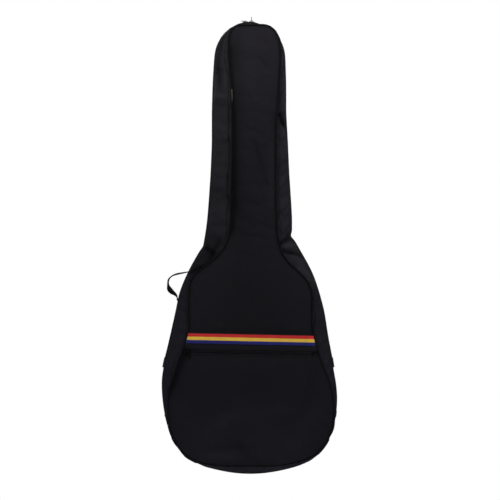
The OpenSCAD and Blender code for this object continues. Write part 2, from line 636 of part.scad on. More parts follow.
// ---- Strap adjuster ----
// A slide with two slots: the webbing runs over the end bars and under the raised middle bar.
adj_len = 26;
adj_bar = 4;
adj_t = 2.4;
adj_edge = 3;
adj_clear = 0.5;
adj_x = 46;
module adjuster() {
    w = webbing_w + 2 * adj_edge + 2 * adj_clear;
    lift = webbing_t / 2 + adj_clear;
    for (x = [-1, 1]) translate([x * (adj_len - adj_bar) / 2, 0, -lift - adj_t / 2]) {
        cube([adj_bar, w - adj_t, adj_t], center = true);
    }
    translate([0, 0, lift + adj_t / 2]) rotate([90, 0, 0])
        cylinder(h = w - adj_t, d = adj_t, center = true, $fn = 32);
    for (y = [-1, 1]) translate([0, y * (w - adj_edge) / 2, 0]) rotate([90, 0, 0])
        linear_extrude(adj_edge, center = true) {
            translate([-adj_len / 2, -lift - adj_t]) square([adj_len, lift + adj_t]);
            translate([-adj_len / 4, -lift]) square([adj_len / 2, 2 * lift + adj_t]);
            for (x = [-1, 1]) translate([x * adj_len / 4, 0]) circle(r = lift + adj_t, $fn = 40);
        }
}
module adjuster_left() color("#111113") hung() along_web(-1, adj_x) adjuster();
module adjuster_right() color("#111113") hung() along_web(1, adj_x) adjuster();

back_shell();
back_foam();
back_lining();
back_gusset();
back_piping();
back_zip_tape();
back_zip_coil();
lower_front_shell();
lower_front_foam();
lower_front_lining();
lower_gusset();
bottom_gusset();
lower_piping();
lower_zip_tape();
lower_zip_coil();
zip_tab_left();
zip_tab_right();
pocket_header();
pocket_panel();
ribbon();
pocket_tape_upper();
pocket_tape_lower();
pocket_coil_upper();
pocket_coil_lower();
handle_patch_upper();
handle_patch_lower();
strap_yoke();
strap_pad_left();
strap_pad_right();
strap_web_left();
strap_web_right();
strap_wing_left();
strap_wing_right();
flap_shell();
flap_foam();
flap_lining();
flap_gusset();
flap_piping();
flap_zip_tape();
flap_zip_coil();
seam_tag();
slider_left();
slider_right();
pull_left();
pull_right();
pocket_slider();
pocket_pull();
carry_handle();
adjuster_left();
adjuster_right();
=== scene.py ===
# A padded gig bag for a full-size guitar, hanging closed from the pull of its right main slider.
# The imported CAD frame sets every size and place. This script sews the cloth over it. Units are
# metres, +Z is up, the front faces -Y, and the origin is the eye that the bag hangs from.
import json
import math

import bmesh
import bpy
import numpy as np
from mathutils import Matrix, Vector
from mathutils.bvhtree import BVHTree


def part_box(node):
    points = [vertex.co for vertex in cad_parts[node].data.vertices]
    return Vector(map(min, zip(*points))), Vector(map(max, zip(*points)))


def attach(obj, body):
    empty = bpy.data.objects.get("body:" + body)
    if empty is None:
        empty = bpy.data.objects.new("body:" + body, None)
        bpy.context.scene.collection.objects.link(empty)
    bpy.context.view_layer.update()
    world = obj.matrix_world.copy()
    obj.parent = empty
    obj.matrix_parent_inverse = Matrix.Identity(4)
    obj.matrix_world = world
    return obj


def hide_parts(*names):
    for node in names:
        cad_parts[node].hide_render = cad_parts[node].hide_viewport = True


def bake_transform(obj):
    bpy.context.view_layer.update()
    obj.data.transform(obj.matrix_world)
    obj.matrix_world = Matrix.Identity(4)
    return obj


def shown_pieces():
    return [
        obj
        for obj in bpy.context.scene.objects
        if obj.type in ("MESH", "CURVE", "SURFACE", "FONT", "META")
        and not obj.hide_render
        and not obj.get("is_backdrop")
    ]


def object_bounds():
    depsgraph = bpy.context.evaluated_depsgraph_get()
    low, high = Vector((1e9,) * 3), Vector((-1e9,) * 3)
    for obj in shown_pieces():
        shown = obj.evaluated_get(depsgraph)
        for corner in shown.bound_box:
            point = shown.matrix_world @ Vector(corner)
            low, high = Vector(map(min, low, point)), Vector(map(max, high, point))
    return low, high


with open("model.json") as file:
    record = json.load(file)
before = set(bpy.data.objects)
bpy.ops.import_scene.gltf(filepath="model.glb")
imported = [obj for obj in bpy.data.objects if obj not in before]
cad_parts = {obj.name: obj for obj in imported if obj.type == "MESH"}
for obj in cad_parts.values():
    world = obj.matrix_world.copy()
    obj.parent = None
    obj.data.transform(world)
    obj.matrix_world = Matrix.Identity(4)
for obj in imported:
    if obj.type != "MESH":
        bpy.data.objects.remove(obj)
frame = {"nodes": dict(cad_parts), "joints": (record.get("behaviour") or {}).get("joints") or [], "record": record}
cad_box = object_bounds()
scene = bpy.context.scene
scene.view_settings.view_transform = "Standard"

# ---- Camera and image points ----
# The photograph is a level front view with a long lens. The points are in its 500 by 500 frame:
# the bag's edges, and the middle of what shows of each feature.
IMAGE = 500
POINTS = {
    "left_edge": (161.8, None),
    "right_edge": (337.7, None),
    "top_edge": (None, 17.5),
    "bottom_edge": (None, 473.0),
    "handle_loop": (177.4, 285.3),
    "seam_tag": (231.3, 95.3),
    "ribbon": (251.3, 339.0),
    "pocket_pull": (189.6, 351.5),
    "neck_seam_left": (231.3, 160.0),
    "neck_seam_right": (275.6, 160.0),
    "shoulder_seam_left": (209.0, 263.0),
    "shoulder_seam_right": (288.0, 262.5),
    "bottom_seam": (250.0, 465.5),
}
lens = 300.0
sensor = 36.0
picture_scale = 2.333e-3  # metres of the bag's middle plane to one pixel
bottom_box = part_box("bottom_gusset")
middle_x = ((bottom_box[0].x + bottom_box[1].x) / 2
            + (IMAGE - POINTS["left_edge"][0] - POINTS["right_edge"][0]) / 2 * picture_scale)
middle_z = -0.5402
distance = IMAGE * picture_scale * lens / sensor

camera_data = bpy.data.cameras.new("camera")
camera_data.lens = lens
camera_data.sensor_width = sensor
camera_data.sensor_fit = "AUTO"
camera_data.clip_end = 50
camera = bpy.data.objects.new("camera", camera_data)
camera.location = (middle_x, -distance, middle_z)
camera.rotation_euler = (math.radians(90), 0, 0)
scene.collection.objects.link(camera)
scene.camera = camera


def in_picture(p):
    """Where a point of the bag shows, in the image points' frame."""
    reach = p[1] - camera.location.y
    scale = IMAGE * lens / sensor / reach
    return (IMAGE / 2 + (p[0] - camera.location.x) * scale,
            IMAGE / 2 - (p[2] - camera.location.z) * scale)


# ---- Shader maths ----
# A finish is a material built by expressions: a Wire is one node's output, and sums and products
# of wires add Math nodes.
class Wire:
    def __init__(self, finish, socket):
        self.finish = finish
        self.socket = socket

    def math(self, operation, *values):
        return self.finish.node("ShaderNodeMath", dict(enumerate(values)), operation=operation)

    def __add__(self, other):
        return self.math("ADD", self, other)

    def __sub__(self, other):
        return self.math("SUBTRACT", self, other)

    def __rsub__(self, other):
        return self.math("SUBTRACT", other, self)

    def __mul__(self, other):
        return self.math("MULTIPLY", self, other)

    __radd__ = __add__
    __rmul__ = __mul__

    def sine(self):
        return self.math("SINE", self)

    def half_up(self):
        """A half more, kept between 0 and 1."""
        return self.finish.node("ShaderNodeMath", {0: self, 1: 0.5}, operation="ADD", use_clamp=True)


class Finish:
    def __init__(self, name):
        self.material = bpy.data.materials.new(name)
        self.material.use_nodes = True
        self.tree = self.material.node_tree
        self.tree.nodes.clear()

    def node(self, kind, inputs=None, out=0, stops=None, **settings):
        made = self.tree.nodes.new(kind)
        for key, value in settings.items():
            setattr(made, key, value)
        if stops:
            ramp = made.color_ramp.elements
            while len(ramp) < len(stops):
                ramp.new(0.5)
            for element, (place, colour) in zip(ramp, stops):
                element.position = place
                element.color = (*colour, 1) if len(colour) == 3 else colour
        for key, value in (inputs or {}).items():
            if isinstance(value, Wire):
                self.tree.links.new(value.socket, made.inputs[key])
            elif isinstance(value, tuple) and len(value) == 3 and made.inputs[key].type == "RGBA":
                made.inputs[key].default_value = (*value, 1)
            else:
                made.inputs[key].default_value = value
        return Wire(self, made.outputs[out])

    def axes(self):
        """X, Y and Z of the piece's own coordinates, in metres."""
        place = self.node("ShaderNodeTexCoord", out="Object")
        return [self.node("ShaderNodeSeparateXYZ", {0: place}, out=i) for i in range(3)]

    def cloud(self, size, detail=3, stretch=(1, 1, 1)):
        """Soft noise from 0 to 1 with patches about size across."""
        place = self.node("ShaderNodeTexCoord", out="Object")
        place = self.node("ShaderNodeVectorMath", {0: place, 1: stretch}, operation="MULTIPLY")
        return self.node("ShaderNodeTexNoise", {"Vector": place, "Scale": 1 / size,
                                                "Detail": detail}, out="Fac")

    def mix(self, factor, a, b):
        return self.node("ShaderNodeMix", {0: factor, 6: a, 7: b}, out=2, data_type="RGBA")

    def scaled(self, colour, by):
        return self.node("ShaderNodeVectorMath", {0: colour, 3: by}, operation="SCALE")

    def surface(self, colour, roughness, bump=None, bump_depth=0.0002, **constants):
        inputs = {"Base Color": colour, "Roughness": roughness}
        if bump is not None:
            inputs["Normal"] = self.node("ShaderNodeBump", {"Strength": 1.0, "Distance": bump_depth,
                                                            "Height": bump})
        inputs.update({key.replace("_", " "): value for key, value in constants.items()})
        shader = self.node("ShaderNodeBsdfPrincipled", inputs)
        out = self.tree.nodes.new("ShaderNodeOutputMaterial")
        self.tree.links.new(shader.socket, out.inputs["Surface"])
        return self.material


def woven(name, dark, light, pitch, depth=0.00012, rough=0.82, shine=0.0):
    """Plain-woven cloth: over-and-under threads, slubs, and slow dusty patches. shade, which a piece
    may carry, is painted shade in its creases and painted light on its ridges, scaling the colour."""
    f = Finish(name)
    x, y, z = f.axes()
    turn = 2 * math.pi / pitch
    warp = ((x + y) * turn).sine()
    weft = (z * turn).sine()
    threads = warp * weft
    slub = f.cloud(pitch * 5, 2)
    dust = f.cloud(0.09, 4)
    tone = (dust * 0.75 + threads * 0.06 + slub * 0.25).half_up()
    # The piece's shade attribute is painted shade and light, and it scales the cloth's colour.
    shade = f.node("ShaderNodeAttribute", attribute_name="shade", out="Fac")
    colour = f.scaled(f.mix(tone, dark, light), shade + 1)
    return f.surface(colour, rough + dust * 0.12, threads * 0.6 + slub * 0.8, depth,
                     Specular_IOR_Level=shine)


# ---- Stage: floor, backdrop and lamps ----
# White to the camera and in reflections, as in a cut-out product photograph. The floor glows for
# those rays alone. The lamps are large and soft. One stands near the head and one to the right of
# it, so that the light falls off down the bag.
world = bpy.data.worlds.new("studio")
scene.world = world
world.use_nodes = True
nodes = world.node_tree.nodes
nodes.clear()
room_light = 0.088  # of the white that the camera sees
ray_kinds = nodes.new("ShaderNodeLightPath")
seen = [ray_kinds.outputs[n] for n in ("Is Camera Ray", "Is Glossy Ray", "Is Transmission Ray")]
links = world.node_tree.links
total = seen[0]
for socket in seen[1:]:
    either = nodes.new("ShaderNodeMath")
    either.operation = "MAXIMUM"
    links.new(total, either.inputs[0])
    links.new(socket, either.inputs[1])
    total = either.outputs[0]
strength = nodes.new("ShaderNodeMapRange")
strength.inputs["To Min"].default_value = room_light
strength.inputs["To Max"].default_value = 1.0
links.new(total, strength.inputs["Value"])
background = nodes.new("ShaderNodeBackground")
background.inputs["Color"].default_value = (1, 1, 1, 1)
links.new(strength.outputs["Result"], background.inputs["Strength"])
sky = nodes.new("ShaderNodeOutputWorld")
links.new(background.outputs[0], sky.inputs["Surface"])

floor_drop = 0.45
floor_half = 2.7
floor_mesh = bpy.data.meshes.new("floor")
floor_mesh.from_pydata([(x * floor_half, y * floor_half, cad_box[0][2] - floor_drop)
                        for x, y in ((-1, -1), (1, -1), (1, 1), (-1, 1))], [], [(0, 1, 2, 3)])
floor_finish = Finish("pale_floor")
floor_glow = 0.5
rays = [floor_finish.node("ShaderNodeLightPath", out=f"Is {kind} Ray")
        for kind in ("Camera", "Glossy", "Transmission")]
glow = rays[0].math("MAXIMUM", rays[0], rays[1])
glow = glow.math("MAXIMUM", glow, rays[2]) * floor_glow
floor_finish.surface((0.86, 0.86, 0.86), 0.9, Emission_Color=(1, 1, 1),
                     Emission_Strength=glow)
floor_mesh.materials.append(floor_finish.material)
floor = bpy.data.objects.new("floor", floor_mesh)
scene.collection.objects.link(floor)
floor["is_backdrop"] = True

for name, place, aim_z, size, watts, colour in [
        ("head", (-0.3, -0.88, 0.42), -0.10, 0.5, 15, (1, 0.99, 0.68)),
        ("right", (1.1, -0.5, 0.42), -0.2, 0.6, 15, (1, 1, 0.8)),
        ("left", (-2.3, -0.9, 0.2), -0.5, 1.2, 5, (1, 1, 1)),
        ("low", (0.1, -1.1, -1.45), -1.0, 0.6, 3.3, (1, 0.97, 0.5)),
        ("side left", (-2.4, 0.7, -0.2), -0.6, 1.2, 9, (1, 1, 1)),
        ("side right", (2.4, 0.7, -0.2), -0.6, 1.2, 9, (1, 1, 1)),
        ("back", (-1.1, 2.3, 0.7), -0.55, 1.2, 95, (1, 1, 1))]:
    lamp_data = bpy.data.lights.new(name, "AREA")
    lamp_data.size = size
    lamp_data.energy = watts
    lamp_data.color = colour
    lamp = bpy.data.objects.new(name, lamp_data)
    lamp.location = place
    lamp.rotation_euler = (Vector((0, 0, aim_z)) - Vector(place)).to_track_quat("-Z", "Y").to_euler()
    scene.collection.objects.link(lamp)

# ---- Pattern lines ----
# The cutting lines of the bag: the front seam, the middle of the side wall under the zip, and the
# back seam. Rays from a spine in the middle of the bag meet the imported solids, so that the three
# loops match point for point. The rays go round clockwise from the top, as seen from the front.
head = Vector(next(j for j in frame["joints"] if j["name"] == "slider_right_run")["pos_m"])
row_step = 0.0045
low = Vector(((bottom_box[0].x + bottom_box[1].x) / 2, 0, bottom_box[1].z - 0.04))
side_steps = round((head.z - low.z) / row_step)
head_steps = 36
low_steps = 36


def spine():
    """Origin and outward direction of each ray."""
    quarter = [(head, math.radians(90 * i / head_steps)) for i in range(head_steps)]
    right = [(Vector((head.x, 0, head.z + (low.z - head.z) * i / side_steps)), math.pi / 2)
             for i in range(side_steps)]
    bottom = [(low, math.pi / 2 + math.pi / 2 * i / low_steps) for i in range(low_steps + 1)]
    half = quarter + right + bottom
    mirrored = [(origin, -angle) for origin, angle in half[-2:0:-1]]
    return [(o, Vector((math.sin(a), 0, math.cos(a)))) for o, a in half + mirrored]


spine_rays = spine()
turns = len(spine_rays)
bottom_turn = turns // 2


def search_tree(pieces):
    """One search tree over the meshes of pieces as they stand."""
    points, faces = [], []
    for piece in pieces:
        faces += [[i + len(points) for i in face.vertices] for face in piece.data.polygons]
        points += [v.co.copy() for v in piece.data.vertices]
    return BVHTree.FromPolygons(points, faces)


def solid(*names):
    """One search tree over CAD nodes."""
    return search_tree([frame["nodes"][name] for name in names])


back_panel = solid("back_shell", "back_foam")
rim = 0.003
back_low, back_top = (corner.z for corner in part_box("back_shell"))


def half_depth(z):
    """Half the depth of the bag at a height, from the back panel."""
    z = min(max(z, back_low + rim), back_top - rim)
    return back_panel.ray_cast(Vector((middle_x, 0.3, z)), Vector((0, -1, 0)))[0].y


def ease(line, passes):
    """Rounds a closed line of points off."""
    for _ in range(passes):
        line = 0.25 * np.roll(line, 1, 0) + 0.5 * line + 0.25 * np.roll(line, -1, 0)
    return line


def seam_line(tree, depths):
    """Where each spine ray leaves the solid, at its own depth."""
    found = []
    for (origin, out), depth in zip(spine_rays, depths):
        start = Vector((origin.x, depth, origin.z)) + out * 0.6
        hit = tree.ray_cast(start, -out)[0]
        close = hit is None or (hit - Vector((origin.x, depth, origin.z))).dot(out) < 0.02
        found.append([np.nan] * 3 if close else list(hit))
    found = np.array(found)
    missed = np.isnan(found[:, 0])
    index = np.arange(turns)
    for axis in range(3):
        found[missed, axis] = np.interp(index[missed], index[~missed], found[~missed, axis])
    return found


zip_line = ease(seam_line(solid("back_gusset", "bottom_gusset"), [0.0075] * turns), 10)
# The left side hangs nearer the middle between two heights, and fades in and out.
left_in = 0.0012
left_top, left_low, left_fade = -0.10, -0.83, 0.05
zip_line[:, 0] += (left_in * (zip_line[:, 0] < 0)
                   * np.clip((left_top - zip_line[:, 2]) / left_fade, 0, 1)
                   * np.clip((zip_line[:, 2] - left_low) / left_fade, 0, 1))
notch_high = 0.009
for side, notch_z, deep in ((1, -0.508, 0.0055), (-1, -0.532, 0.0022)):
    near_notch = np.exp(-((zip_line[:, 2] - notch_z) / notch_high) ** 2)
    zip_line[:, 0] -= (np.sign(zip_line[:, 0]) == side) * side * deep * near_notch
depth_by_z = np.array([half_depth(p[2]) for p in zip_line])
front_line = seam_line(solid("flap_shell", "flap_foam", "lower_front_shell", "lower_front_foam"),
                       rim - depth_by_z)
back_line = seam_line(back_panel, depth_by_z - rim)
front_depth = np.array([half_depth(p[2]) for p in front_line])
back_depth = np.array([half_depth(p[2]) for p in back_line])
front_line[:, 1] = -front_depth
back_line[:, 1] = back_depth
front_line, back_line = ease(front_line, 8), ease(back_line, 8)
for middle, reach, inward in ((-0.708, 0.055, 0.0040), (-0.836, 0.020, 0.0028)):
    near = np.exp(-((front_line[:, 2] - middle) / reach) ** 2)
    front_line[:, 0] += (front_line[:, 0] < 0) * inward * near
head_drop = 0.0024
head_drop_wide = 0.030
for line in (front_line, back_line):
    near = np.exp(-((line[:, 0] - head.x) / head_drop_wide) ** 2)
    line[:, 2] -= head_drop * near * (line[:, 2] > -0.06)


def turns_at(z):
    """The places in the loop on the right and left side at a height."""
    index = round((head.z - z) / (head.z - low.z) * side_steps) + head_steps
    return index, turns - index


fold_z = frame["record"]["behaviour"]["joints"][0]["pos_m"][2]
zip_end_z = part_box("zip_tab_left")[0].z
fold_right, fold_left = turns_at(fold_z)
end_right, end_left = turns_at(zip_end_z)

# ---- Cloth and lining ----
# The outside is a dull plain-woven polyester, black with a touch of blue. The lining is a thin
# smooth cloth, a little greyer.
outer_cloth = woven("outer_cloth", (0.0054, 0.0051, 0.0086), (0.0108, 0.0103, 0.0168), 0.0011)
# The side wall is the outer cloth painted about a fifth lighter: painted light, as the walls catch more light from
# the sides.
wall_cloth_painted_lighter = woven("side_wall_padding", (0.0066, 0.0063, 0.0102), (0.0134, 0.0129, 0.0204), 0.0011)
lining_cloth = woven("lining_cloth", (0.020, 0.020, 0.022), (0.032, 0.032, 0.035), 0.0008,
                     depth=0.00006, rough=0.7, shine=0.1)


def falloff(points, start, end, width):
    """0 to 1: how near points are, in the plane of the bag, to a line from start to end. It fades
    slowly past the ends."""
    a, b = np.array(start), np.array(end)
    long = np.linalg.norm(b - a)
    way = (b - a) / long
    from_start = points[..., (0, 2)] - a
    along = from_start @ way
    beside = from_start @ np.array((-way[1], way[0]))
    past = np.maximum(0, np.maximum(-along, along - long))
    return np.exp(-(beside ** 2 + (past * 0.45) ** 2) / width ** 2)


def normals_of(grid):
    """Outward normals of a grid whose rows go down and columns go right, seen from outside."""
    down = np.gradient(grid, axis=0)
    right = np.gradient(grid, axis=1)
    n = np.cross(down, right)
    return n / np.maximum(np.linalg.norm(n, axis=-1, keepdims=True), 1e-9)


def rumple(points, size, seed):
    """Slow unevenness from -1 to 1 with waves about size long."""
    random = np.random.default_rng(seed)
    total = np.zeros(points.shape[:-1])
    for _ in range(9):
        wave = random.normal(size=3) / size * 2.2
        total += np.sin(points @ wave + random.uniform(0, 6.28))
    return total / 4.5


def sew(name, outer, inner, materials, body, node_names, closed=False, shade=None):
    """A closed piece of cloth between an outer and an inner grid. Faces of the inner grid get the
    second material. closed joins the last row to the first. shade is painted shade, and painted
    light where above zero, on points of the outer grid."""
    rows, cols = outer.shape[:2]
    count = rows * cols
    faces, inside = [], []
    for r in range(rows if closed else rows - 1):
        below = (r + 1) % rows
        for c in range(cols - 1):
            a, b = r * cols + c, below * cols + c
            faces.append((a, b, b + 1, a + 1))
            inside.append((count + a, count + a + 1, count + b + 1, count + b))
    starts = [(r * cols, (r + 1) % rows * cols) for r in range(rows if closed else rows - 1)]
    ends = [(a + cols - 1, b + cols - 1) for a, b in starts]
    rim_faces = [(b, a, count + a, count + b) for a, b in starts]
    rim_faces += [(a, b, count + b, count + a) for a, b in ends]
    if not closed:
        last = (rows - 1) * cols
        rim_faces += [(c, c + 1, count + c + 1, count + c) for c in range(cols - 1)]
        rim_faces += [(last + c + 1, last + c, count + last + c, count + last + c + 1)
                      for c in range(cols - 1)]
    mesh = bpy.data.meshes.new(name)
    mesh.from_pydata(np.concatenate([outer.reshape(-1, 3), inner.reshape(-1, 3)]).tolist(), [],
                     faces + inside + rim_faces)
    for material in materials:
        mesh.materials.append(material)
    if shade is not None:
        shades = mesh.attributes.new("shade", "FLOAT", "POINT")
        shades.data.foreach_set("value", np.repeat([shade], 2, 0).ravel())
    for face in mesh.polygons:
        face.use_smooth = True
        face.material_index = 1 if len(faces) <= face.index < len(faces) + len(inside) else 0
    mesh.set_sharp_from_angle(angle=math.radians(50))
    piece = bpy.data.objects.new(name, mesh)
    scene.collection.objects.link(piece)
    if body:
        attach(piece, body)
    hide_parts(*node_names)
    return piece


def settle(grid, held, grow, cap, closed=False, frames=22):
    """Runs a cloth simulation on a grid and returns it at rest. held is how firmly each point is
    sewn or glued down. The cloth is cut larger than its place by grow, so that it ripples."""
    rows, cols = grid.shape[:2]
    starts = [(r * cols, (r + 1) % rows * cols) for r in range(rows if closed else rows - 1)]
    faces = [(a + c, b + c, b + c + 1, a + c + 1) for a, b in starts for c in range(cols - 1)]
    mesh = bpy.data.meshes.new("settling")
    mesh.from_pydata(grid.reshape(-1, 3).tolist(), [], faces)
    sheet = bpy.data.objects.new("settling", mesh)
    scene.collection.objects.link(sheet)
    group = sheet.vertex_groups.new(name="held")
    levels = np.round(held.reshape(-1), 2)
    for share in np.unique(levels):
        group.add(np.flatnonzero(levels == share).tolist(), float(share), "REPLACE")
    cloth = sheet.modifiers.new("cloth", "CLOTH")
    cloth.settings.quality = 5
    cloth.settings.mass = 0.15
    cloth.settings.tension_stiffness = cloth.settings.compression_stiffness = 12
    cloth.settings.shear_stiffness = 4
    cloth.settings.bending_stiffness = 0.6
    cloth.settings.vertex_group_mass = "held"
    cloth.settings.shrink_min = -grow
    cloth.settings.effector_weights.gravity = 0
    cloth.point_cache.frame_end = frames
    for frame_number in range(1, frames + 1):
        scene.frame_set(frame_number)
    rest = sheet.evaluated_get(bpy.context.evaluated_depsgraph_get()).data
    found = np.empty(len(rest.vertices) * 3)
    rest.vertices.foreach_get("co", found)
    bpy.data.objects.remove(sheet)
    scene.frame_set(1)
    moved = found.reshape(grid.shape) - grid
    far = np.linalg.norm(moved, axis=-1, keepdims=True)
    return grid + moved * np.minimum(1, cap / np.maximum(far, 1e-9))


# ---- Front panel ----
# One padded panel from the head to the bottom seam, foam between outer cloth and lining. On the bag the
# flap turns down just above the ribbon once the main zip is open; here the panel is one piece that stays in place.
panel_thick = 0.0064
panel_cols = 64
u = np.linspace(0, 1, panel_cols)
u = 0.5 - 0.5 * np.cos(np.pi * u) * (0.55 + 0.45 * np.abs(np.cos(np.pi * u)))


def panel(line, side):
    """Rows of points across a panel between the right and left halves of its seam line."""
    rows = []
    for k in range(1, bottom_turn):
        left, right = line[turns - k], line[k]
        rows.append(left + (right - left) * u[:, None])
    grid = np.array(rows)
    return grid if side < 0 else grid[:, ::-1]


def side_distance(grid):
    """How far each point of a grid is from the nearer end of its row, in metres."""
    across = np.linalg.norm(grid - grid[:, :1], axis=-1)
    return np.minimum(across, across[:, -1:] - across)


def edge_distance(grid):
    """How far each point of a panel is from the seam along its row or from the ends, in metres."""
    top = grid[0, :, 2].mean() - grid[..., 2]
    end = grid[..., 2] - grid[-1, :, 2].mean()
    return np.minimum(side_distance(grid), np.minimum(top, end))


def rolled(distance, reach):
    """How far cloth has turned from its seam, where it is 0, to its face, where it is 1."""
    return 1 - np.exp(-distance / reach)


def proud_of(grid, tree, least, passes):
    """How far a CAD solid stands in front of each point of a grid, at least least, smoothed."""
    proud = np.full(grid.shape[:2], float(least))
    for k, row in enumerate(grid):
        for c, p in enumerate(row):
            hit = tree.ray_cast(Vector((p[0], -0.3, p[2])), Vector((0, 1, 0)))[0]
            if hit:
                proud[k, c] = max(least, p[1] - hit.y)
    for _ in range(passes):
        proud[1:-1] = 0.25 * proud[2:] + 0.5 * proud[1:-1] + 0.25 * proud[:-2]
        proud[:, 1:-1] = 0.25 * proud[:, 2:] + 0.5 * proud[:, 1:-1] + 0.25 * proud[:, :-2]
    return proud


def crease(grid, folds, height, shade, give, where=1):
    """Adds folds to a grid's height, and their painted shade and light to shade. give is how freely its cloth can
    move.
    """
    for start, end, width, rise, tone in folds:
        near = falloff(grid, start, end, width) * where
        height += near * rise * give
        shade += near * tone


# Valleys (below zero) and ridges (above) that the hanging cloth shows, each a line in the plane of
# the front from (x, z) to (x, z), with its width, its height and its tone: painted shade below zero
# and painted light above, in the cloth's colour.
front_folds = [
    ((-0.0470, -0.075), (-0.0465, -0.490), 0.008, -0.0020, -0.32),
    ((-0.0460, -0.230), (-0.0455, -0.430), 0.010, -0.0035, -0.25),
    ((-0.037, -0.190), (-0.037, -0.450), 0.017, -0.0020, -0.16),
    ((-0.031, -0.050), (-0.032, -0.110), 0.008, 0, -0.16),
    ((-0.006, -0.060), (-0.004, -0.160), 0.020, 0.0010, 0.08),
    ((0.008, -0.295), (0.034, -0.388), 0.006, -0.0016, -0.10),
    ((0.047, -0.320), (0.048, -0.430), 0.009, 0.0016, 0.14),
    ((0.052, -0.236), (0.058, -0.262), 0.008, -0.0012, -0.14),
    ((-0.088, -0.560), (-0.110, -0.585), 0.010, -0.0020, -0.14),
    ((0.080, -0.552), (0.108, -0.575), 0.010, -0.0020, -0.12),
    # A broad painted shade over the middle of the front, for the light falling off down the bag.
    ((0.000, -0.400), (0.000, -0.720), 0.120, 0, -0.20),
]
front = panel(front_line, -1)
edge = edge_distance(front)
inside_seam = np.maximum(edge, 0)
panel_roll = 0.0045
seam_dip = 0.0022
roll = rolled(inside_seam, panel_roll)
height = proud_of(front, solid("flap_shell"), 0, 12) * roll - seam_dip * (1 - roll)
calm = 1 - 0.65 * np.clip((-0.50 - front[..., 2]) / 0.08, 0, 1)
height += (rumple(front, 0.085, 4) * 0.0015 + rumple(front, 0.030, 9) * 0.0004) * roll * calm
pucker = np.exp(-inside_seam / 0.008) * rolled(inside_seam, 0.002)
height += pucker * rumple(front, 0.007, 2) * 0.0007
# Painted shade along the seam, where the panel turns in.
front_shade = -0.45 * np.exp(-inside_seam / 0.0030)
crease(front, front_folds, height, front_shade, roll)
# More painted shade beside the seam up the left side, from the shoulder to the head.
left_side_painted_shade_mask = (front[..., 0] < 0) * np.clip((front[..., 2] + 0.53) / 0.04, 0, 1)
darkest = -0.62  # a shade of -1 would be no light at all
front_shade = np.maximum(front_shade - 0.20 * left_side_painted_shade_mask * np.exp(-(edge / 0.0065) ** 2), darkest)
front[..., 1] -= height
sewn = edge < 0.004
front = settle(front, np.where(sewn, 1.0, 0.30 - 0.18 * calm), grow=0.006, cap=0.003)
through_panel = np.array([0, panel_thick, 0])
front_cloth = sew("front_cloth", front, front + through_panel, [outer_cloth, lining_cloth], None,
                  ["flap_shell", "flap_foam", "flap_lining", "lower_front_shell", "lower_front_foam",
                   "lower_front_lining"], shade=front_shade)
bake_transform(front_cloth)

# ---- Back panel ----
# The same panel mirrored and nearly flat, because the straps and the wearer's back press on it.
back = panel(back_line, 1)
back_proud = 0.0006
roll = rolled(np.maximum(edge_distance(back), 0), panel_roll)
height = back_proud * roll - seam_dip * (1 - roll)
height += rumple(back, 0.09, 14) * 0.0008 * roll + rumple(back, 0.03, 19) * 0.0003 * roll
back[..., 1] += height
back_cloth = sew("back_cloth", back, back - through_panel, [outer_cloth, lining_cloth], "bag",
                 ["back_shell", "back_foam", "back_lining"])

# ---- Side wall ----
# A padded strip right round the bag. The main zip splits it along its middle down both sides to
# the tabs, and below them it is one piece. It is worked as one grid from the front seam to the
# back seam and then cut, so that its folds run on from piece to piece.
half_cols = 26
flat = 0.007
bead_back = 0.0064
lip_back = 0.0012
wall_thick = 0.004
halves = []
for side, line in ((-1, front_line), (1, back_line)):
    zip_edge = zip_line * (1, 0, 1) + np.array([0, side * flat, 0])
    seam = line - np.array([0, side * bead_back, 0])
    lip = line - np.array([0, side * lip_back, 0])
    t = 1 - (1 - np.linspace(0, 1, half_cols)[:, None, None]) ** 1.5
    half = zip_edge + (seam - zip_edge) * t
    halves.append(np.concatenate([half, ((seam + lip) / 2)[None], lip[None]]))
wall = np.concatenate([halves[0][::-1], halves[1]]).transpose(1, 0, 2)
wall_cols = wall.shape[1]
zip_front, zip_back = half_cols + 1, half_cols + 2
wall_out = -normals_of(np.concatenate([wall[-3:], wall, wall[:3]]))[3:-3]
wall_out *= np.sign(((wall - np.array(low)) * wall_out).sum(-1).mean())
v = np.abs(wall[..., 1]) / np.abs(wall[:, :1, 1])
swell = np.sin(np.pi * np.clip((v - 0.15) / 0.75, 0, 1))
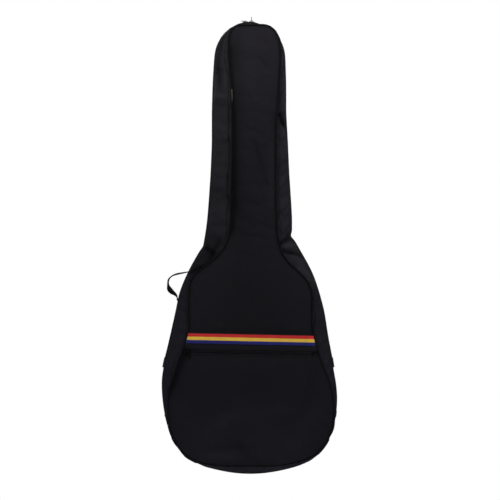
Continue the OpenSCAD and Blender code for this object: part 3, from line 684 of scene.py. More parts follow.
# The side wall's folds in the same form, with painted shade and light as their tones. The last is painted light
# along the bottom of the wall.
wall_folds = [
    ((-0.069, -0.045), (-0.081, -0.120), 0.006, -0.0035, -0.30),
    ((-0.077, -0.127), (-0.074, -0.150), 0.006, -0.0030, -0.38),
    ((-0.062, -0.060), (-0.062, -0.150), 0.004, 0.0010, 0.18),
    ((-0.084, -0.127), (-0.086, -0.183), 0.004, 0.0012, 0.35),
    ((-0.092, -0.180), (-0.069, -0.184), 0.006, 0.0024, 0.30),
    ((-0.090, -0.197), (-0.066, -0.203), 0.008, -0.0024, -0.22),
    ((-0.088, -0.250), (-0.060, -0.262), 0.010, 0.0012, 0.12),
    ((-0.096, -0.400), (-0.058, -0.420), 0.012, -0.0016, -0.12),
    ((-0.052, -0.215), (-0.053, -0.440), 0.006, -0.0012, -0.20),
    ((-0.078, -0.524), (-0.102, -0.568), 0.008, -0.0045, -0.50),
    ((-0.112, -0.530), (-0.100, -0.540), 0.006, -0.0035, -0.45),
    ((-0.108, -0.540), (-0.130, -0.598), 0.018, -0.0015, -0.30),
    ((-0.144, -0.594), (-0.118, -0.583), 0.006, -0.0030, -0.45),
    ((0.078, -0.085), (0.080, -0.190), 0.012, 0, 0.35),
    ((0.060, -0.170), (0.070, -0.232), 0.006, -0.0010, -0.15),
    ((0.064, -0.227), (0.078, -0.253), 0.005, -0.0040, -0.50),
    ((0.090, -0.262), (0.078, -0.250), 0.006, -0.0030, -0.30),
    ((0.072, -0.268), (0.084, -0.300), 0.009, 0.0015, 0.20),
    ((0.069, -0.524), (0.090, -0.512), 0.006, -0.0045, -0.55),
    ((0.072, -0.542), (0.110, -0.552), 0.005, -0.0050, -0.60),
    ((0.078, -0.533), (0.096, -0.531), 0.005, 0.0025, 0.40),
    ((0.112, -0.572), (0.134, -0.615), 0.010, 0.0012, 0.22),
    ((-0.100, -1.032), (0.060, -1.040), 0.012, 0, 0.22),
]
bulge = (0.0022 * swell + rumple(wall, 0.06, 5) * 0.0016 * swell
         + rumple(wall, 0.024, 6) * 0.0007 * swell)
wall_shade = np.zeros(wall.shape[:2])
crease(wall, wall_folds, bulge, wall_shade, 0.25 + 0.75 * swell, where=wall[..., 1] < 0)
seam_cols = (2, wall_cols - 3)
from_seam = np.minimum(*[np.linalg.norm(wall - wall[:, [c]], axis=-1) for c in seam_cols])
topstitch = 0.0085
ridge = 0.0045
bulge += 0.0012 * np.exp(-((from_seam - ridge) / 0.0026) ** 2) * (swell > 0)
groove = np.exp(-((from_seam - topstitch) / 0.0019) ** 2)
bulge -= 0.0021 * groove
# Painted light on the ridge beside the seam, and painted shade in the topstitch groove.
wall_shade += 0.22 * np.exp(-((from_seam - ridge) / 0.003) ** 2) - 0.50 * groove
below_zip = 1 / (1 + np.exp((wall[..., 2] - zip_end_z + 0.02) / 0.006))
bulge += 0.0016 * below_zip * np.exp(-(wall[..., 1] / 0.022) ** 2)
sag = (0.0032 * np.clip((-0.975 - wall[..., 2]) / 0.045, 0, 1)
       - 0.0016 * np.clip((-1.030 - wall[..., 2]) / 0.020, 0, 1))
bulge += sag * np.exp(-(wall[..., 1] / 0.030) ** 2)
wall = wall + wall_out * bulge[..., None]
held = np.full(wall.shape[:2], 0.06)
held[:, :4] = held[:, -4:] = 1
held[:, zip_front - 3:zip_back + 4] = 1
wall = settle(wall, held, grow=0.03, cap=0.004, closed=True)
# The padding thins out to cloth alone in the seams, so that no rim shows beside the piping.
thick = np.full(wall_cols, wall_thick)
thick[[0, 1, 2, -3, -2, -1]] = (0.0006, 0.0008, 0.0016, 0.0016, 0.0008, 0.0006)
wall_inner = wall - wall_out * thick[:, None]


def cut_wall(name, turn_list, cols, body, node_names):
    """A closed piece of the side wall, between two columns of the worked grid."""
    outer = wall[turn_list][:, cols]
    inner = wall_inner[turn_list][:, cols]
    closed = len(turn_list) == turns
    piece = sew(name, outer[:, ::-1], inner[:, ::-1], [wall_cloth_painted_lighter, lining_cloth], body, node_names,
                closed, shade=wall_shade[turn_list][:, cols][:, ::-1])


def run(start, end):
    """Places in the loop from start to end, clockwise, across the top or bottom."""
    return [i % turns for i in range(start, end + 1 if end >= start else end + turns + 1)]


front_cols = slice(0, zip_front)
back_cols = slice(zip_back - 1, wall_cols)
all_cols = slice(0, wall_cols)
# The loop's stretches: the flap and the whole front below it, and the zip's back and lower lengths.
flap_run, below_flap = run(fold_left, fold_right), run(fold_right, fold_left)
zip_run = run(end_left, end_right)
low_right, low_left = run(fold_right, end_right), run(end_left, fold_left)
cut_wall("flap_wall", flap_run, front_cols, "flap", ["flap_gusset"])
cut_wall("back_wall", zip_run, back_cols, "bag", ["back_gusset"])
cut_wall("lower_wall_right", low_right, front_cols, "bag", ["lower_gusset"])
cut_wall("lower_wall_left", low_left, front_cols, "bag", [])
cut_wall("bottom_wall", run(end_right, end_left), all_cols, "bag", ["bottom_gusset"])

# ---- Piping ----
# A cord wrapped in a bias strip of the outer cloth, caught in each seam between panel and wall. Each
# length is one bead that lies just outside the seam, a little uneven where the needle pulls it in.
# The bead's cloth is the outer cloth painted about two fifths darker, as painted shade in the seams.
piping_cloth = woven("piping_cloth", (0.0032, 0.0031, 0.0046), (0.0066, 0.0064, 0.0092), 0.0008,
                     rough=0.8)
bead = 0.0019
bead_out = 0.0012
bead_in = 0.0010


def outward(line):
    """Direction away from the bag, in its plane, at each point of a closed line."""
    along = np.roll(line, -1, 0) - np.roll(line, 1, 0)
    out = np.cross(along, (0, 1, 0))
    return out / np.linalg.norm(out, axis=1, keepdims=True)


def tube(name, rings, material, body, node_names, closed=False, lay=None):
    """A closed skin over rings of points, with its ends capped. lay gives each point's place in the
    weave, across and along it."""
    count, sides = rings.shape[:2]
    faces = []
    for r in range(count if closed else count - 1):
        a, b = r * sides, (r + 1) % count * sides
        faces += [(a + s, b + s, b + (s + 1) % sides, a + (s + 1) % sides) for s in range(sides)]
    if not closed:
        faces += [tuple(range(sides)), tuple(range(count * sides - 1, (count - 1) * sides - 1, -1))]
    mesh = bpy.data.meshes.new(name)
    mesh.from_pydata(rings.reshape(-1, 3).tolist(), [], faces)
    mesh.materials.append(material)
    mesh.polygons.foreach_set("use_smooth", [True] * len(mesh.polygons))
    if lay is not None:
        lays = mesh.attributes.new("lay", "FLOAT_VECTOR", "POINT")
        lays.data.foreach_set("vector", lay.reshape(-1))
    work = bmesh.new()
    work.from_mesh(mesh)
    bmesh.ops.recalc_face_normals(work, faces=work.faces)
    work.to_mesh(mesh)
    work.free()
    piece = bpy.data.objects.new(name, mesh)
    scene.collection.objects.link(piece)
    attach(piece, body)
    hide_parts(*node_names)
    return piece


def ring_shape(sides, wide, deep, lean=0.0):
    """A ring of (across, out) pairs."""
    a = np.arange(sides) * 2 * np.pi / sides + lean
    return np.stack([np.cos(a) * wide, np.sin(a) * deep], axis=1)


def welt(name, line, side, turn_list, body, node_names):
    """A length of piping along a seam line."""
    out = outward(line)[turn_list]
    centre = line[turn_list] + out * bead_out - np.array([0, side * bead_in, 0])
    size = 1 + 0.06 * rumple(centre, 0.006, 31) + 0.04 * rumple(centre, 0.03, 32)
    shape = ring_shape(10, 1, 1) * bead
    rings = (centre[:, None] + size[:, None, None]
             * (shape[None, :, :1] * (0, side, 0) + shape[None, :, 1:] * out[:, None]))
    if side > 0:
        rings = rings[:, ::-1]
    tube(name, rings, piping_cloth, body, node_names, len(turn_list) == turns)


welt("flap_welt", front_line, -1, flap_run, "flap", ["flap_piping"])
welt("lower_welt", front_line, -1, below_flap, "bag", ["lower_piping"])
welt("back_welt", back_line, 1, run(0, turns - 1), "bag", ["back_piping"])

# ---- Stitching ----
# Lockstitches in dull black thread. Here is the row beside the piping on the wall. Later sections
# sew their own pieces with the same thread.
thread = Finish("thread")
thread.surface(thread.mix(thread.cloud(0.004), (0.009, 0.009, 0.010), (0.022, 0.022, 0.025)), 0.6,
               Specular_IOR_Level=0.1)
stitch_pitch = 0.0042
stitch_long = 0.0031
stitch_half = 0.0003
stitch_high = 0.0004
stitch_deep = 0.0002


def walked(path):
    """How far along a path each of its points is."""
    return np.concatenate([[0], np.cumsum(np.linalg.norm(np.diff(path, axis=0), axis=1))])


def sampled(values, where, marks):
    """Rows of values, known at where, read off at marks."""
    return np.stack([np.interp(marks, where, column) for column in values.T], axis=1)


def stitches(name, path, lift, body):
    """A row of stitches along a path, each a small raised rib. lift is away from the cloth."""
    where = walked(path)
    middles = np.arange(stitch_pitch / 2, where[-1] - stitch_pitch / 2, stitch_pitch)
    a, b = [sampled(path, where, middles + end * stitch_long / 2) for end in (-1, 1)]
    up = sampled(lift, where, middles)
    up /= np.linalg.norm(up, axis=1, keepdims=True)
    along = (b - a) / np.linalg.norm(b - a, axis=1, keepdims=True)
    side = np.cross(along, up) * stitch_half
    middle = (a + b) / 2
    crown = middle + up * stitch_high
    points = np.stack([a, crown - side, crown + side, b, middle - side - up * stitch_deep,
                       middle + side - up * stitch_deep], axis=1)
    faces = [(0, 2, 1), (3, 1, 2), (0, 1, 4), (3, 4, 1), (0, 5, 2), (3, 2, 5)]
    count = len(points)
    mesh = bpy.data.meshes.new(name)
    mesh.from_pydata(points.reshape(-1, 3).tolist(), [],
                     [tuple(i + 6 * n for i in f) for n in range(count) for f in faces])
    mesh.materials.append(thread.material)
    piece = bpy.data.objects.new(name, mesh)
    scene.collection.objects.link(piece)
    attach(piece, body)


def stitch_wall(name, side, turn_list, body):
    """The topstitch beside a seam, in its groove."""
    half = slice(0, zip_front) if side < 0 else slice(wall_cols - 1, zip_back, -1)
    path, lift = [], []
    for k in turn_list:
        off = from_seam[k, half][3:]
        path.append(sampled(wall[k, half][3:], off, [topstitch])[0])
        lift.append(sampled(wall_out[k, half][3:], off, [topstitch])[0])
    path, lift = np.array(path), np.array(lift)
    stitches(name, path + lift * 0.0001, lift, body)


stitch_wall("flap_wall_stitches", -1, flap_run, "flap")
stitch_wall("back_wall_stitches", 1, run(0, turns - 1), "bag")
stitch_wall("lower_wall_stitches", -1, below_flap, "bag")

# ---- Main zip ----
# A coil zip up both sides and over the head. Each half is a woven tape, sewn over the edge of the
# wall, with a nylon coil along its inner edge. The turns of the two coils mesh in the middle.
zip_tape = woven("zip_tape", (0.0056, 0.0054, 0.0086), (0.0108, 0.0104, 0.0160), 0.0016, rough=0.8)
coil_nylon = Finish("zip_coil")
coil_nylon.surface(coil_nylon.mix(coil_nylon.cloud(0.02), (0.0056, 0.0054, 0.0086),
                                  (0.0108, 0.0104, 0.0160)), 0.6, Specular_IOR_Level=0.01)
tape_half = 0.013
tape_thick = 0.001
tape_edge = 0.0034
zip_out = outward(zip_line)
tooth_step = 0.00095
turn_off, turn_half, turn_reach = 0.0021, 0.0013, 0.0007
turn_lift, turn_high, turn_swell = 0.0004, 0.0011, 0.0004


def beside_zip(side, w, t):
    """Points at w from the middle of the zip over the wall, raised by t, all round the loop."""
    line = front_line if side < 0 else back_line
    seam = line - np.array([0, side * bead_back, 0])
    edge = zip_line * (1, 0, 1) + np.array([0, side * min(w, flat), 0])
    lean = seam - edge
    lean /= np.linalg.norm(lean, axis=1, keepdims=True)
    return edge + lean * max(0, w - flat) + zip_out * t


def over_zip(turn_list, widths, raised):
    """A grid over the zip. Widths below zero are on the front half of the wall."""
    return np.stack([beside_zip(-1 if w < 0 else 1, abs(w), t)[turn_list]
                     for w, t in zip(widths, raised)], axis=1)


def tape(name, side, turn_list, body, node_names):
    """Half of the tape, stitched down near its outer edge."""
    widths = side * np.array([tape_edge, 0.0052, flat, 0.009, 0.011, tape_half - 0.0006, tape_half])
    raised = np.array([1, 1, 1.1, 1.25, 1.2, 1, 0.2]) * tape_thick
    outer = over_zip(turn_list, widths, raised)
    inner = over_zip(turn_list, widths, raised - tape_thick)
    if side > 0:
        outer, inner = outer[:, ::-1], inner[:, ::-1]
    sew(name, outer, inner, [zip_tape], body, node_names)
    stitches(name + "_stitches", outer[:, 5 if side < 0 else 1], zip_out[turn_list], body)


def coil_section(count, side):
    """Across and out from the zip's middle, for each ring of a half coil. Every other ring is big
    and reaches over the middle, and the two sides are staggered."""
    big = (np.arange(count) + (side > 0)) % 2
    shape = ring_shape(8, 1, 1)
    across = ((turn_off - turn_reach * big)[:, None]
              + (turn_half + turn_reach * big)[:, None] * shape[None, :, 0])
    rise = turn_lift + (turn_high + turn_swell * big)[:, None] * shape[None, :, 1]
    return across[..., None], rise[..., None]


def turned_coil(name, rings, body, node_names):
    """Half a coil, faceted so that each turn shows."""
    piece = tube(name, rings, coil_nylon.material, body, node_names)
    piece.data.polygons.foreach_set("use_smooth", [False] * len(piece.data.polygons))


def coil(name, side, turn_list, body, node_names):
    """Half of the main zip's coil along a stretch of the loop."""
    path = zip_line[turn_list] * (1, 0, 1)
    where = walked(path)
    marks = np.arange(0, where[-1], tooth_step)
    line, out = sampled(path, where, marks), sampled(zip_out[turn_list], where, marks)
    across, rise = coil_section(len(marks), side)
    rings = line[:, None] + across * (0, side, 0) + rise * out[:, None]
    turned_coil(name, rings[:, ::-1] if side > 0 else rings, body, node_names)


for half, kind in ((tape, "tape"), (coil, "coil")):
    half(f"flap_{kind}", -1, flap_run, "flap", [f"flap_zip_{kind}"])
    half(f"back_{kind}", 1, zip_run, "bag", [f"back_zip_{kind}"])
    half(f"lower_{kind}_right", -1, low_right, "bag", [f"lower_zip_{kind}"])
    half(f"lower_{kind}_left", -1, low_left, "bag", [])

# ---- Tabs over the ends of the main zip ----
# A doubled scrap of cloth sewn across each lower end, so that the sliders can't run off.
tab_height = 0.022
tab_thick = 0.0007


def zip_tab(name, turn_list, node_name):
    half = np.array([0.003, 0.0048, 0.007, 0.0095, 0.0125, 0.0148])
    widths = np.concatenate([-half[::-1], [0], half])
    raised = 0.0014 + 0.0015 * np.exp(-(widths / 0.0042) ** 4)
    outer = over_zip(turn_list, widths, raised)
    sew(name, outer, over_zip(turn_list, widths, raised - tab_thick), [zip_tape], "bag", [node_name])
    up = np.repeat(zip_out[turn_list][:1], len(widths), 0)
    for label, row, other in (("top", 0, -1), ("low", -1, 0)):
        path = outer[row] + (outer[other] - outer[row]) * 0.12
        stitches(f"{name}_stitches_{label}", path, up, "bag")


zip_tab("tab_right", run(turns_at(zip_end_z + tab_height)[0], end_right), "zip_tab_right")
zip_tab("tab_left", run(end_left, turns_at(zip_end_z + tab_height)[1]), "zip_tab_left")

# ---- Pocket ----
# A flat pocket over the whole lower front. Its cloth is sewn into the front seam at the sides and
# bottom, bellies out a little, and its mouth is a zip just under the ribbon.
coil_low, coil_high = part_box("pocket_coil_lower")[0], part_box("pocket_coil_upper")[1]
zip_slide = next(j for j in frame["joints"] if j["name"] == "pocket_slider_run")["axis"]
slope = zip_slide[2] / zip_slide[0]
mouth_z = (coil_low.z + coil_high.z) / 2
mouth_lip = 0.0052
header_proud = -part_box("pocket_header")[0].y - half_depth(mouth_z)


def front_strip(z_top, z_low, rows):
    """A grid on the front between two sloped lines, or down to the bottom seam where z_low is None."""
    right = front_line[head_steps:bottom_turn]
    left = front_line[turns - np.arange(head_steps, bottom_turn)]
    place = np.arange(len(right), dtype=float)

    def where(line, z):
        x = np.interp(-z, -line[:, 2], line[:, 0])
        return np.interp(-(z + slope * x), -line[:, 2], place)

    grid = []
    ends = [(where(left, z_top), where(right, z_top))]
    ends.append((place[-1], place[-1]) if z_low is None else (where(left, z_low), where(right, z_low)))
    for t in np.linspace(0, 1, rows):
        pair = [sampled(line, place, [a + (b - a) * t])[0]
                for line, a, b in ((left, ends[0][0], ends[1][0]), (right, ends[0][1], ends[1][1]))]
        grid.append(pair[0] + (pair[1] - pair[0]) * u[:, None])
    return np.array(grid)


def flat_area(grid):
    """Area of a grid, in square metres."""
    a, b = grid[1:, :-1] - grid[:-1, :-1], grid[:-1, 1:] - grid[:-1, :-1]
    return float(np.linalg.norm(np.cross(a, b), axis=-1).sum())


header_rows = 14
header_thick = 0.0011
strip_roll = 0.006
header = front_strip(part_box("pocket_header")[1].z + slope * 0.15, mouth_z + mouth_lip, header_rows)
roll = rolled(side_distance(header), strip_roll)
lift = header_proud * roll * np.clip(np.linspace(0, 3.2, header_rows), 0.06, 1)[:, None]
header[..., 1] -= lift + rumple(header, 0.05, 41) * 0.0004 * roll
header_shade = np.zeros(header.shape[:2])
header_shade[-2] = -0.30  # painted shade along the topstitch
pocket_header = sew("pocket_header_strip", header, header + np.array([0, header_thick, 0]),
                    [outer_cloth], "bag", ["pocket_header"], shade=header_shade)
flat_area(header)
just_above = np.array([0, 0.0001, 0])
forwards = np.tile((0, -1.0, 0), (panel_cols, 1))
stitches("header_stitches", header[-2] - just_above, forwards, "bag")

# The pocket's folds in the same form, with painted shade and light as their tones. The last two are a broad
# painted shade over the middle and painted light along the bottom.
pocket_folds = [
    ((-0.104, -0.976), (-0.062, -0.937), 0.016, 0.0026, 0.12),
    ((-0.062, -0.937), (0.055, -0.918), 0.016, 0.0022, 0.08),
    ((-0.078, -1.003), (-0.028, -0.998), 0.010, -0.0022, -0.16),
    ((-0.028, -0.998), (-0.004, -1.018), 0.010, -0.0020, -0.14),
    ((-0.100, -1.020), (-0.055, -1.022), 0.008, 0.0020, 0.20),
    ((-0.153, -0.778), (-0.186, -0.862), 0.009, -0.0022, -0.45),
    ((0.150, -0.820), (0.126, -0.890), 0.014, -0.0022, -0.08),
    ((0.165, -0.905), (0.110, -0.985), 0.014, 0.0016, 0.06),
    ((-0.040, -0.830), (0.050, -0.830), 0.080, 0, -0.14),
    ((-0.080, -1.010), (0.060, -1.010), 0.045, 0, 0.16),
]
pocket = front_strip(mouth_z - mouth_lip, None, 76)
belly = proud_of(pocket, solid("pocket_panel"), header_proud, 14)
sides = np.minimum(side_distance(pocket), np.maximum(pocket[..., 2] - front_line[:, 2].min(), 0))
roll = rolled(sides, 0.010)
lift = (belly * roll + rumple(pocket, 0.09, 51) * 0.0016 * roll
        + rumple(pocket, 0.035, 52) * 0.0006 * roll)
lift += np.exp(-sides / 0.008) * rolled(sides, 0.003) * rumple(pocket, 0.009, 53) * 0.0009
# Painted shade along the pocket's side and bottom seams.
pocket_shade = -0.25 * np.exp(-sides / 0.003)
crease(pocket, pocket_folds, lift, pocket_shade, roll)
lift[:2] += 0.0006
pocket_shade[1] -= 0.28  # painted shade along the topstitch
pocket[..., 1] -= lift
pocket_thick = 0.0012
pocket_cloth = sew("pocket_cloth", pocket, pocket + np.array([0, pocket_thick, 0]),
                   [outer_cloth, lining_cloth], "bag", ["pocket_panel"],
                   shade=pocket_shade)
flat_area(pocket)
stitches("pocket_mouth_stitches", pocket[1] - just_above, forwards, "bag")

# ---- Ribbon ----
# One woven ribbon with a red, a yellow and a blue stripe of equal height, ribbed across its width.
# It lies on the strip above the pocket's mouth.
ribbon_finish = Finish("striped_ribbon")
x, y, z = ribbon_finish.axes()
ribbon_low, ribbon_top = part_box("ribbon")
ribbon_trim = 0.0011
ribbon_mid = (ribbon_low.z + ribbon_top.z - ribbon_trim) / 2
ribbon_high = 0.0232
ribbon_rise = slope * (ribbon_low.x + ribbon_top.x) / 2
level = (z - x * slope - (ribbon_mid - ribbon_rise)) * (1 / ribbon_high) + 0.5


def above(edge):
    """1 over an edge between two stripes and 0 under it, where the ribbon's height runs 0 to 1."""
    blur = 0.012
    return ribbon_finish.node("ShaderNodeMapRange", {0: level, 1: edge - blur, 2: edge + blur},
                              interpolation_type="SMOOTHSTEP")


rib = (x * (2 * math.pi / 0.0013)).sine()
worn = ribbon_finish.cloud(0.03, 4)
red = ribbon_finish.mix(worn, (0.35, 0.018, 0.026), (0.46, 0.030, 0.040))
yellow = ribbon_finish.mix(worn, (0.50, 0.31, 0.052), (0.64, 0.43, 0.084))
blue = ribbon_finish.mix(worn, (0.010, 0.012, 0.105), (0.020, 0.022, 0.168))
colour = ribbon_finish.mix(above(2 / 3), ribbon_finish.mix(above(1 / 3), blue, yellow), red)
weft_rows = 7
shimmer = 1 + (level * (2 * math.pi * weft_rows)).sine() * 0.10
ribbon_finish.surface(ribbon_finish.scaled(colour, shimmer), 0.62,
                      rib * 0.5 + ribbon_finish.cloud(0.002, 2) * 0.4, 0.00018,
                      Specular_IOR_Level=0.04)
ribbon_fall = slope * 0.1515
ribbon = front_strip(ribbon_top.z - ribbon_trim + ribbon_fall, ribbon_low.z - ribbon_fall, 12)
roll = rolled(side_distance(ribbon), strip_roll)
ribbon[..., 1] -= ((header_proud + 0.0009) * roll + 0.0008
                   + rumple(ribbon, 0.05, 41) * 0.0004 * roll)
ribbon_thick = 0.0007
striped = sew("ribbon_strip", ribbon, ribbon + np.array([0, ribbon_thick, 0]),
              [ribbon_finish.material], "bag", ["ribbon"])
flat_area(ribbon)

# ---- Pocket zip ----
# The same coil zip, laid flat: one tape under the strip that carries the ribbon, the other under
# the edge of the pocket. Its ends stop short of the side seams.
zip_tilt = math.atan(slope)
along_zip = np.array((math.cos(zip_tilt), 0, math.sin(zip_tilt)))
up_zip = np.array((-math.sin(zip_tilt), 0, math.cos(zip_tilt)))
zip_middle = (np.array(coil_low) + np.array(coil_high)) / 2
zip_length = (coil_high.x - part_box("pocket_coil_upper")[0].x) / math.cos(zip_tilt)


def on_zip(x, w, out):
    """A point x along the pocket zip, w above its middle and out from the middle of its tapes."""
    return zip_middle + along_zip * x + up_zip * w - np.array((0, 1, 0)) * out


def pocket_zip_half(side, where):
    """One tape of the pocket zip and its half of the coil."""
    steps = np.linspace(-zip_length / 2, zip_length / 2, 90)
    half = tape_thick / 2
    widths = (tape_edge, 0.0075, tape_half)
    section = [(w, half) for w in widths] + [(w, -half) for w in widths[::-1]]
    rings = np.array([[on_zip(x, side * w, out) for w, out in section] for x in steps])
    lay = np.array([[(w, x, 0) for w, _ in section] for x in steps])
    tube(f"pocket_tape_{where}_woven", rings, zip_tape, "bag", [f"pocket_tape_{where}"],
         lay=lay)
    marks = np.arange(-zip_length / 2, zip_length / 2, tooth_step)
    across, rise = coil_section(len(marks), side)
    rings = on_zip(marks[:, None, None], side * across, rise)
    turned_coil(f"pocket_coil_{where}_turns", rings, "bag", [f"pocket_coil_{where}"])


pocket_zip_half(-1, "lower")
pocket_zip_half(1, "upper")

# ---- Sliders, pulls ----
# Die-cast zinc sliders with a black lacquer that has rubbed through to grey metal in specks, and
# pulls of the same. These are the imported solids: only their finish is set here.


def lacquered(name, wear, node_names):
    """Black lacquer on zinc: wear is the share of grey metal that shows everywhere, from 0 to 1."""
    f = Finish(name)
    scuff = f.node("ShaderNodeMapRange", {0: f.cloud(0.0035, 6, (1, 1, 3)), 1: 0.58, 2: 0.70})
    bare = scuff * (0.03 + 3 * wear) + wear
    f.surface(f.mix(bare, (0.0016, 0.0016, 0.0022), (0.40, 0.40, 0.41)), 0.42 + f.cloud(0.002, 3) * 0.08,
              f.cloud(0.0006, 3) * 0.5, 0.00004, Metallic=bare * 0.9, Specular_IOR_Level=0.02)
    for node_name in node_names:
        node = frame["nodes"][node_name]
        node.data.materials.clear()
        node.data.materials.append(f.material)


lacquered("worn_black_zinc", 0.09, ("slider_left", "slider_right", "pull_left", "pull_right"))
lacquered("black_zinc", 0.0, ("pocket_slider", "pocket_pull"))

# ---- Webbing ----
# Ribbed polyester webbing. lay, which each strip carries, gives the threads their direction.
webbing = Finish("webbing")
lay = webbing.node("ShaderNodeAttribute", attribute_name="lay", out="Vector")
side, along = [webbing.node("ShaderNodeSeparateXYZ", {0: lay}, out=i) for i in range(2)]
cords = (side * (2 * math.pi / 0.0021)).sine()
picks = (along * (2 * math.pi / 0.0013) + cords * 1.2).sine()
fuzz = webbing.cloud(0.03, 4)
tone = (fuzz * 0.7 + picks * cords * 0.15).half_up()
webbing.surface(webbing.mix(tone, (0.0042, 0.0041, 0.0058), (0.0095, 0.0093, 0.0122)),
                0.66 + fuzz * 0.1, cords * 0.5 + picks * 0.3 + webbing.cloud(0.0015, 2) * 0.3, 0.0003,
                Specular_IOR_Level=0.0)


def smooth_path(points, step):
    """Rows of numbers every step metres on a smooth curve through given ones. The first three
    of each row are its place."""
    p = np.array(points, dtype=float)
    p = np.vstack([2 * p[0] - p[1], p, 2 * p[-1] - p[-2]])
    t = np.linspace(0, 1, 24, endpoint=False)[:, None]
    fine = np.vstack([b + (c - a) * t / 2 + (2 * a - 5 * b + 4 * c - d) * t * t / 2
                      + (3 * b - a - 3 * c + d) * t ** 3 / 2
                      for a, b, c, d in zip(p, p[1:], p[2:], p[3:])] + [p[-2:-1]])
    where = walked(fine[:, :3])
    return sampled(fine, where, np.linspace(0, where[-1], max(6, round(where[-1] / step))))


def strip_frame(path, level):
    """The direction, width direction and upward direction along a strip."""
    along = np.gradient(path, axis=0)
    along /= np.linalg.norm(along, axis=1, keepdims=True)
    up = np.cross(level, along)
    up /= np.linalg.norm(up, axis=1, keepdims=True)
    return along, np.cross(along, up), up


def strip(name, path, level, width, section, material, body, node_names):
    """Sweeps a section of (share of the half width, height) pairs along a path."""
    along, wide, up = strip_frame(path, level)
    section = np.array(section)
    width = np.broadcast_to(width, len(path))
    rings = (path[:, None] + wide[:, None] * (section[None, :, :1] * width[:, None, None] / 2)
             + up[:, None] * section[None, :, 1:])
    lay = np.stack([section[None, :, 0] * width[:, None] / 2,
                    np.repeat(walked(path)[:, None], len(section), 1),
                    np.zeros((len(path), len(section)))], axis=-1)
    tube(name, rings, material, body, node_names, lay=lay)


def flat_section(thick, cols=9, selvedge=0.15):
    """A flat woven strip, a little thicker along its edges."""
    c = np.linspace(-1, 1, cols)
    top = thick / 2 * (1 + selvedge * (np.abs(c) > 0.8) - 0.75 * (np.abs(c) > 0.99))
    return [(x, h) for x, h in zip(c, top)] + [(x, -h) for x, h in zip(c[::-1], top[::-1])]


def box_stitch(name, centre, wide, tall, up, size, body):
    """The square with a cross that holds a patch or the end of a webbing."""
    w, h = size[0] / 2, size[1] / 2
    corners = [(-w, -h), (w, -h), (w, h), (-w, h), (-w, -h), (w, h), (w, -h), (-w, h)]
    path = np.vstack([np.linspace(a, b, 12, endpoint=False) for a, b in zip(corners, corners[1:])])
    points = centre + wide * path[:, :1] + tall * path[:, 1:]
    stitches(name, points, np.repeat(up[None], len(points), 0), body)


# ---- Carry handle ----
# A folded length of webbing on the left side of the back half, for carrying the bag level. Its ends
# are folded narrow and come out of two patches that are box-stitched to the wall.
handle_points = [(-0.1577, 0.0230, -0.5932), (-0.1757, 0.0200, -0.5968), (-0.1870, 0.0200, -0.6017),
                 (-0.1940, 0.0210, -0.6098), (-0.1951, 0.0220, -0.6205), (-0.1923, 0.0220, -0.6312),
                 (-0.1862, 0.0230, -0.6386), (-0.1760, 0.0260, -0.6472)]
handle_twist = [5, 9, 3, 9, 12, 42, 40, 14]
handle_width = 0.0165


def middle_of(node_name):
    """The middle of a CAD node's box."""
    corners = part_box(node_name)
    return (np.array(corners[0]) + np.array(corners[1])) / 2


left_wall, left_out = [grid[run(end_left, 0)].reshape(-1, 3) for grid in (wall, wall_out)]
patch_frames = []
for where in ("upper", "lower"):
    centre = middle_of(f"handle_patch_{where}")
    near = np.argsort(np.linalg.norm(left_wall - centre, axis=1))[:24]
    up = left_out[near].mean(0)
    up[2] *= 0.3
    up /= np.linalg.norm(up)
    tall = np.array((0, 0, 1)) - up * up[2]
    tall /= np.linalg.norm(tall)
    wide = np.cross(tall, up)
    patch_frames.append((centre, wide, tall, up))
(top_centre, top_wide, _, top_up), (low_centre, low_wide, _, low_up) = patch_frames
sewn_rise, free_rise = 0.0040, 0.0092
sewn_share, free_share = 0.5, 0.62  # of the width, where the webbing is folded narrow
rows = ([(*(top_centre + top_up * sewn_rise), 0, sewn_share),
         (*(top_centre + top_up * free_rise), 0, free_share)]
        + [(*p, t, 1) for p, t in zip(handle_points, handle_twist)]
        + [(*(low_centre + low_up * free_rise), 0, free_share),
           (*(low_centre + low_up * sewn_rise), 0, sewn_share)])
handle_rows = smooth_path(rows, 0.003)
path = handle_rows[:, :3]
flat_across = np.tile((0.0, 1.0, 0.0), (len(path), 1))
mix_top = np.clip(1 - np.arange(len(path)) / 5, 0, 1)[:, None]
mix_low = mix_top[::-1]
level = (flat_across * (1 - mix_top - mix_low) + np.sign(top_wide[1]) * top_wide * mix_top
         + np.sign(low_wide[1]) * low_wide * mix_low)
turn = np.radians(handle_rows[:, 3:4])
_, wide, up = strip_frame(path, level)
level = wide * np.cos(turn) + up * np.sin(turn)
handle_thick = 0.0022
strip("handle_webbing", path, level, handle_width * handle_rows[:, 4], flat_section(handle_thick, 11),
      webbing.material, "carry_handle", ["carry_handle"])
_, wide, up = strip_frame(path, level)
for label, shift in (("a", -0.36), ("b", 0.36)):
    edge_path = path + wide * (handle_width * handle_rows[:, 4:5] * shift) + up * (handle_thick / 2)
    stitches(f"handle_stitches_{label}", edge_path, up, "carry_handle")
patch_half_wide, patch_half_tall = 0.008, 0.011
patch_rise = 0.0008
for where, (centre, wide, tall, up) in zip(("upper", "lower"), patch_frames):
    grid = []
    for h in np.linspace(patch_half_tall, -patch_half_tall, 15):
        row = []
        for w in np.linspace(-patch_half_wide, patch_half_wide, 13):
            out = max(abs(w) / patch_half_wide, abs(h) / patch_half_tall)
            row.append(centre + wide * w + tall * h + up * (patch_rise * (1 - out ** 6)))
        grid.append(row)
    grid = np.array(grid)
    sew(f"handle_patch_{where}_cloth", grid, grid - up * 0.0016, [webbing.material], "bag",
        [f"handle_patch_{where}"])
    box_stitch(f"handle_patch_{where}_stitches", centre + up * patch_rise, wide, tall, up,
               (0.0125, 0.0185), "bag")

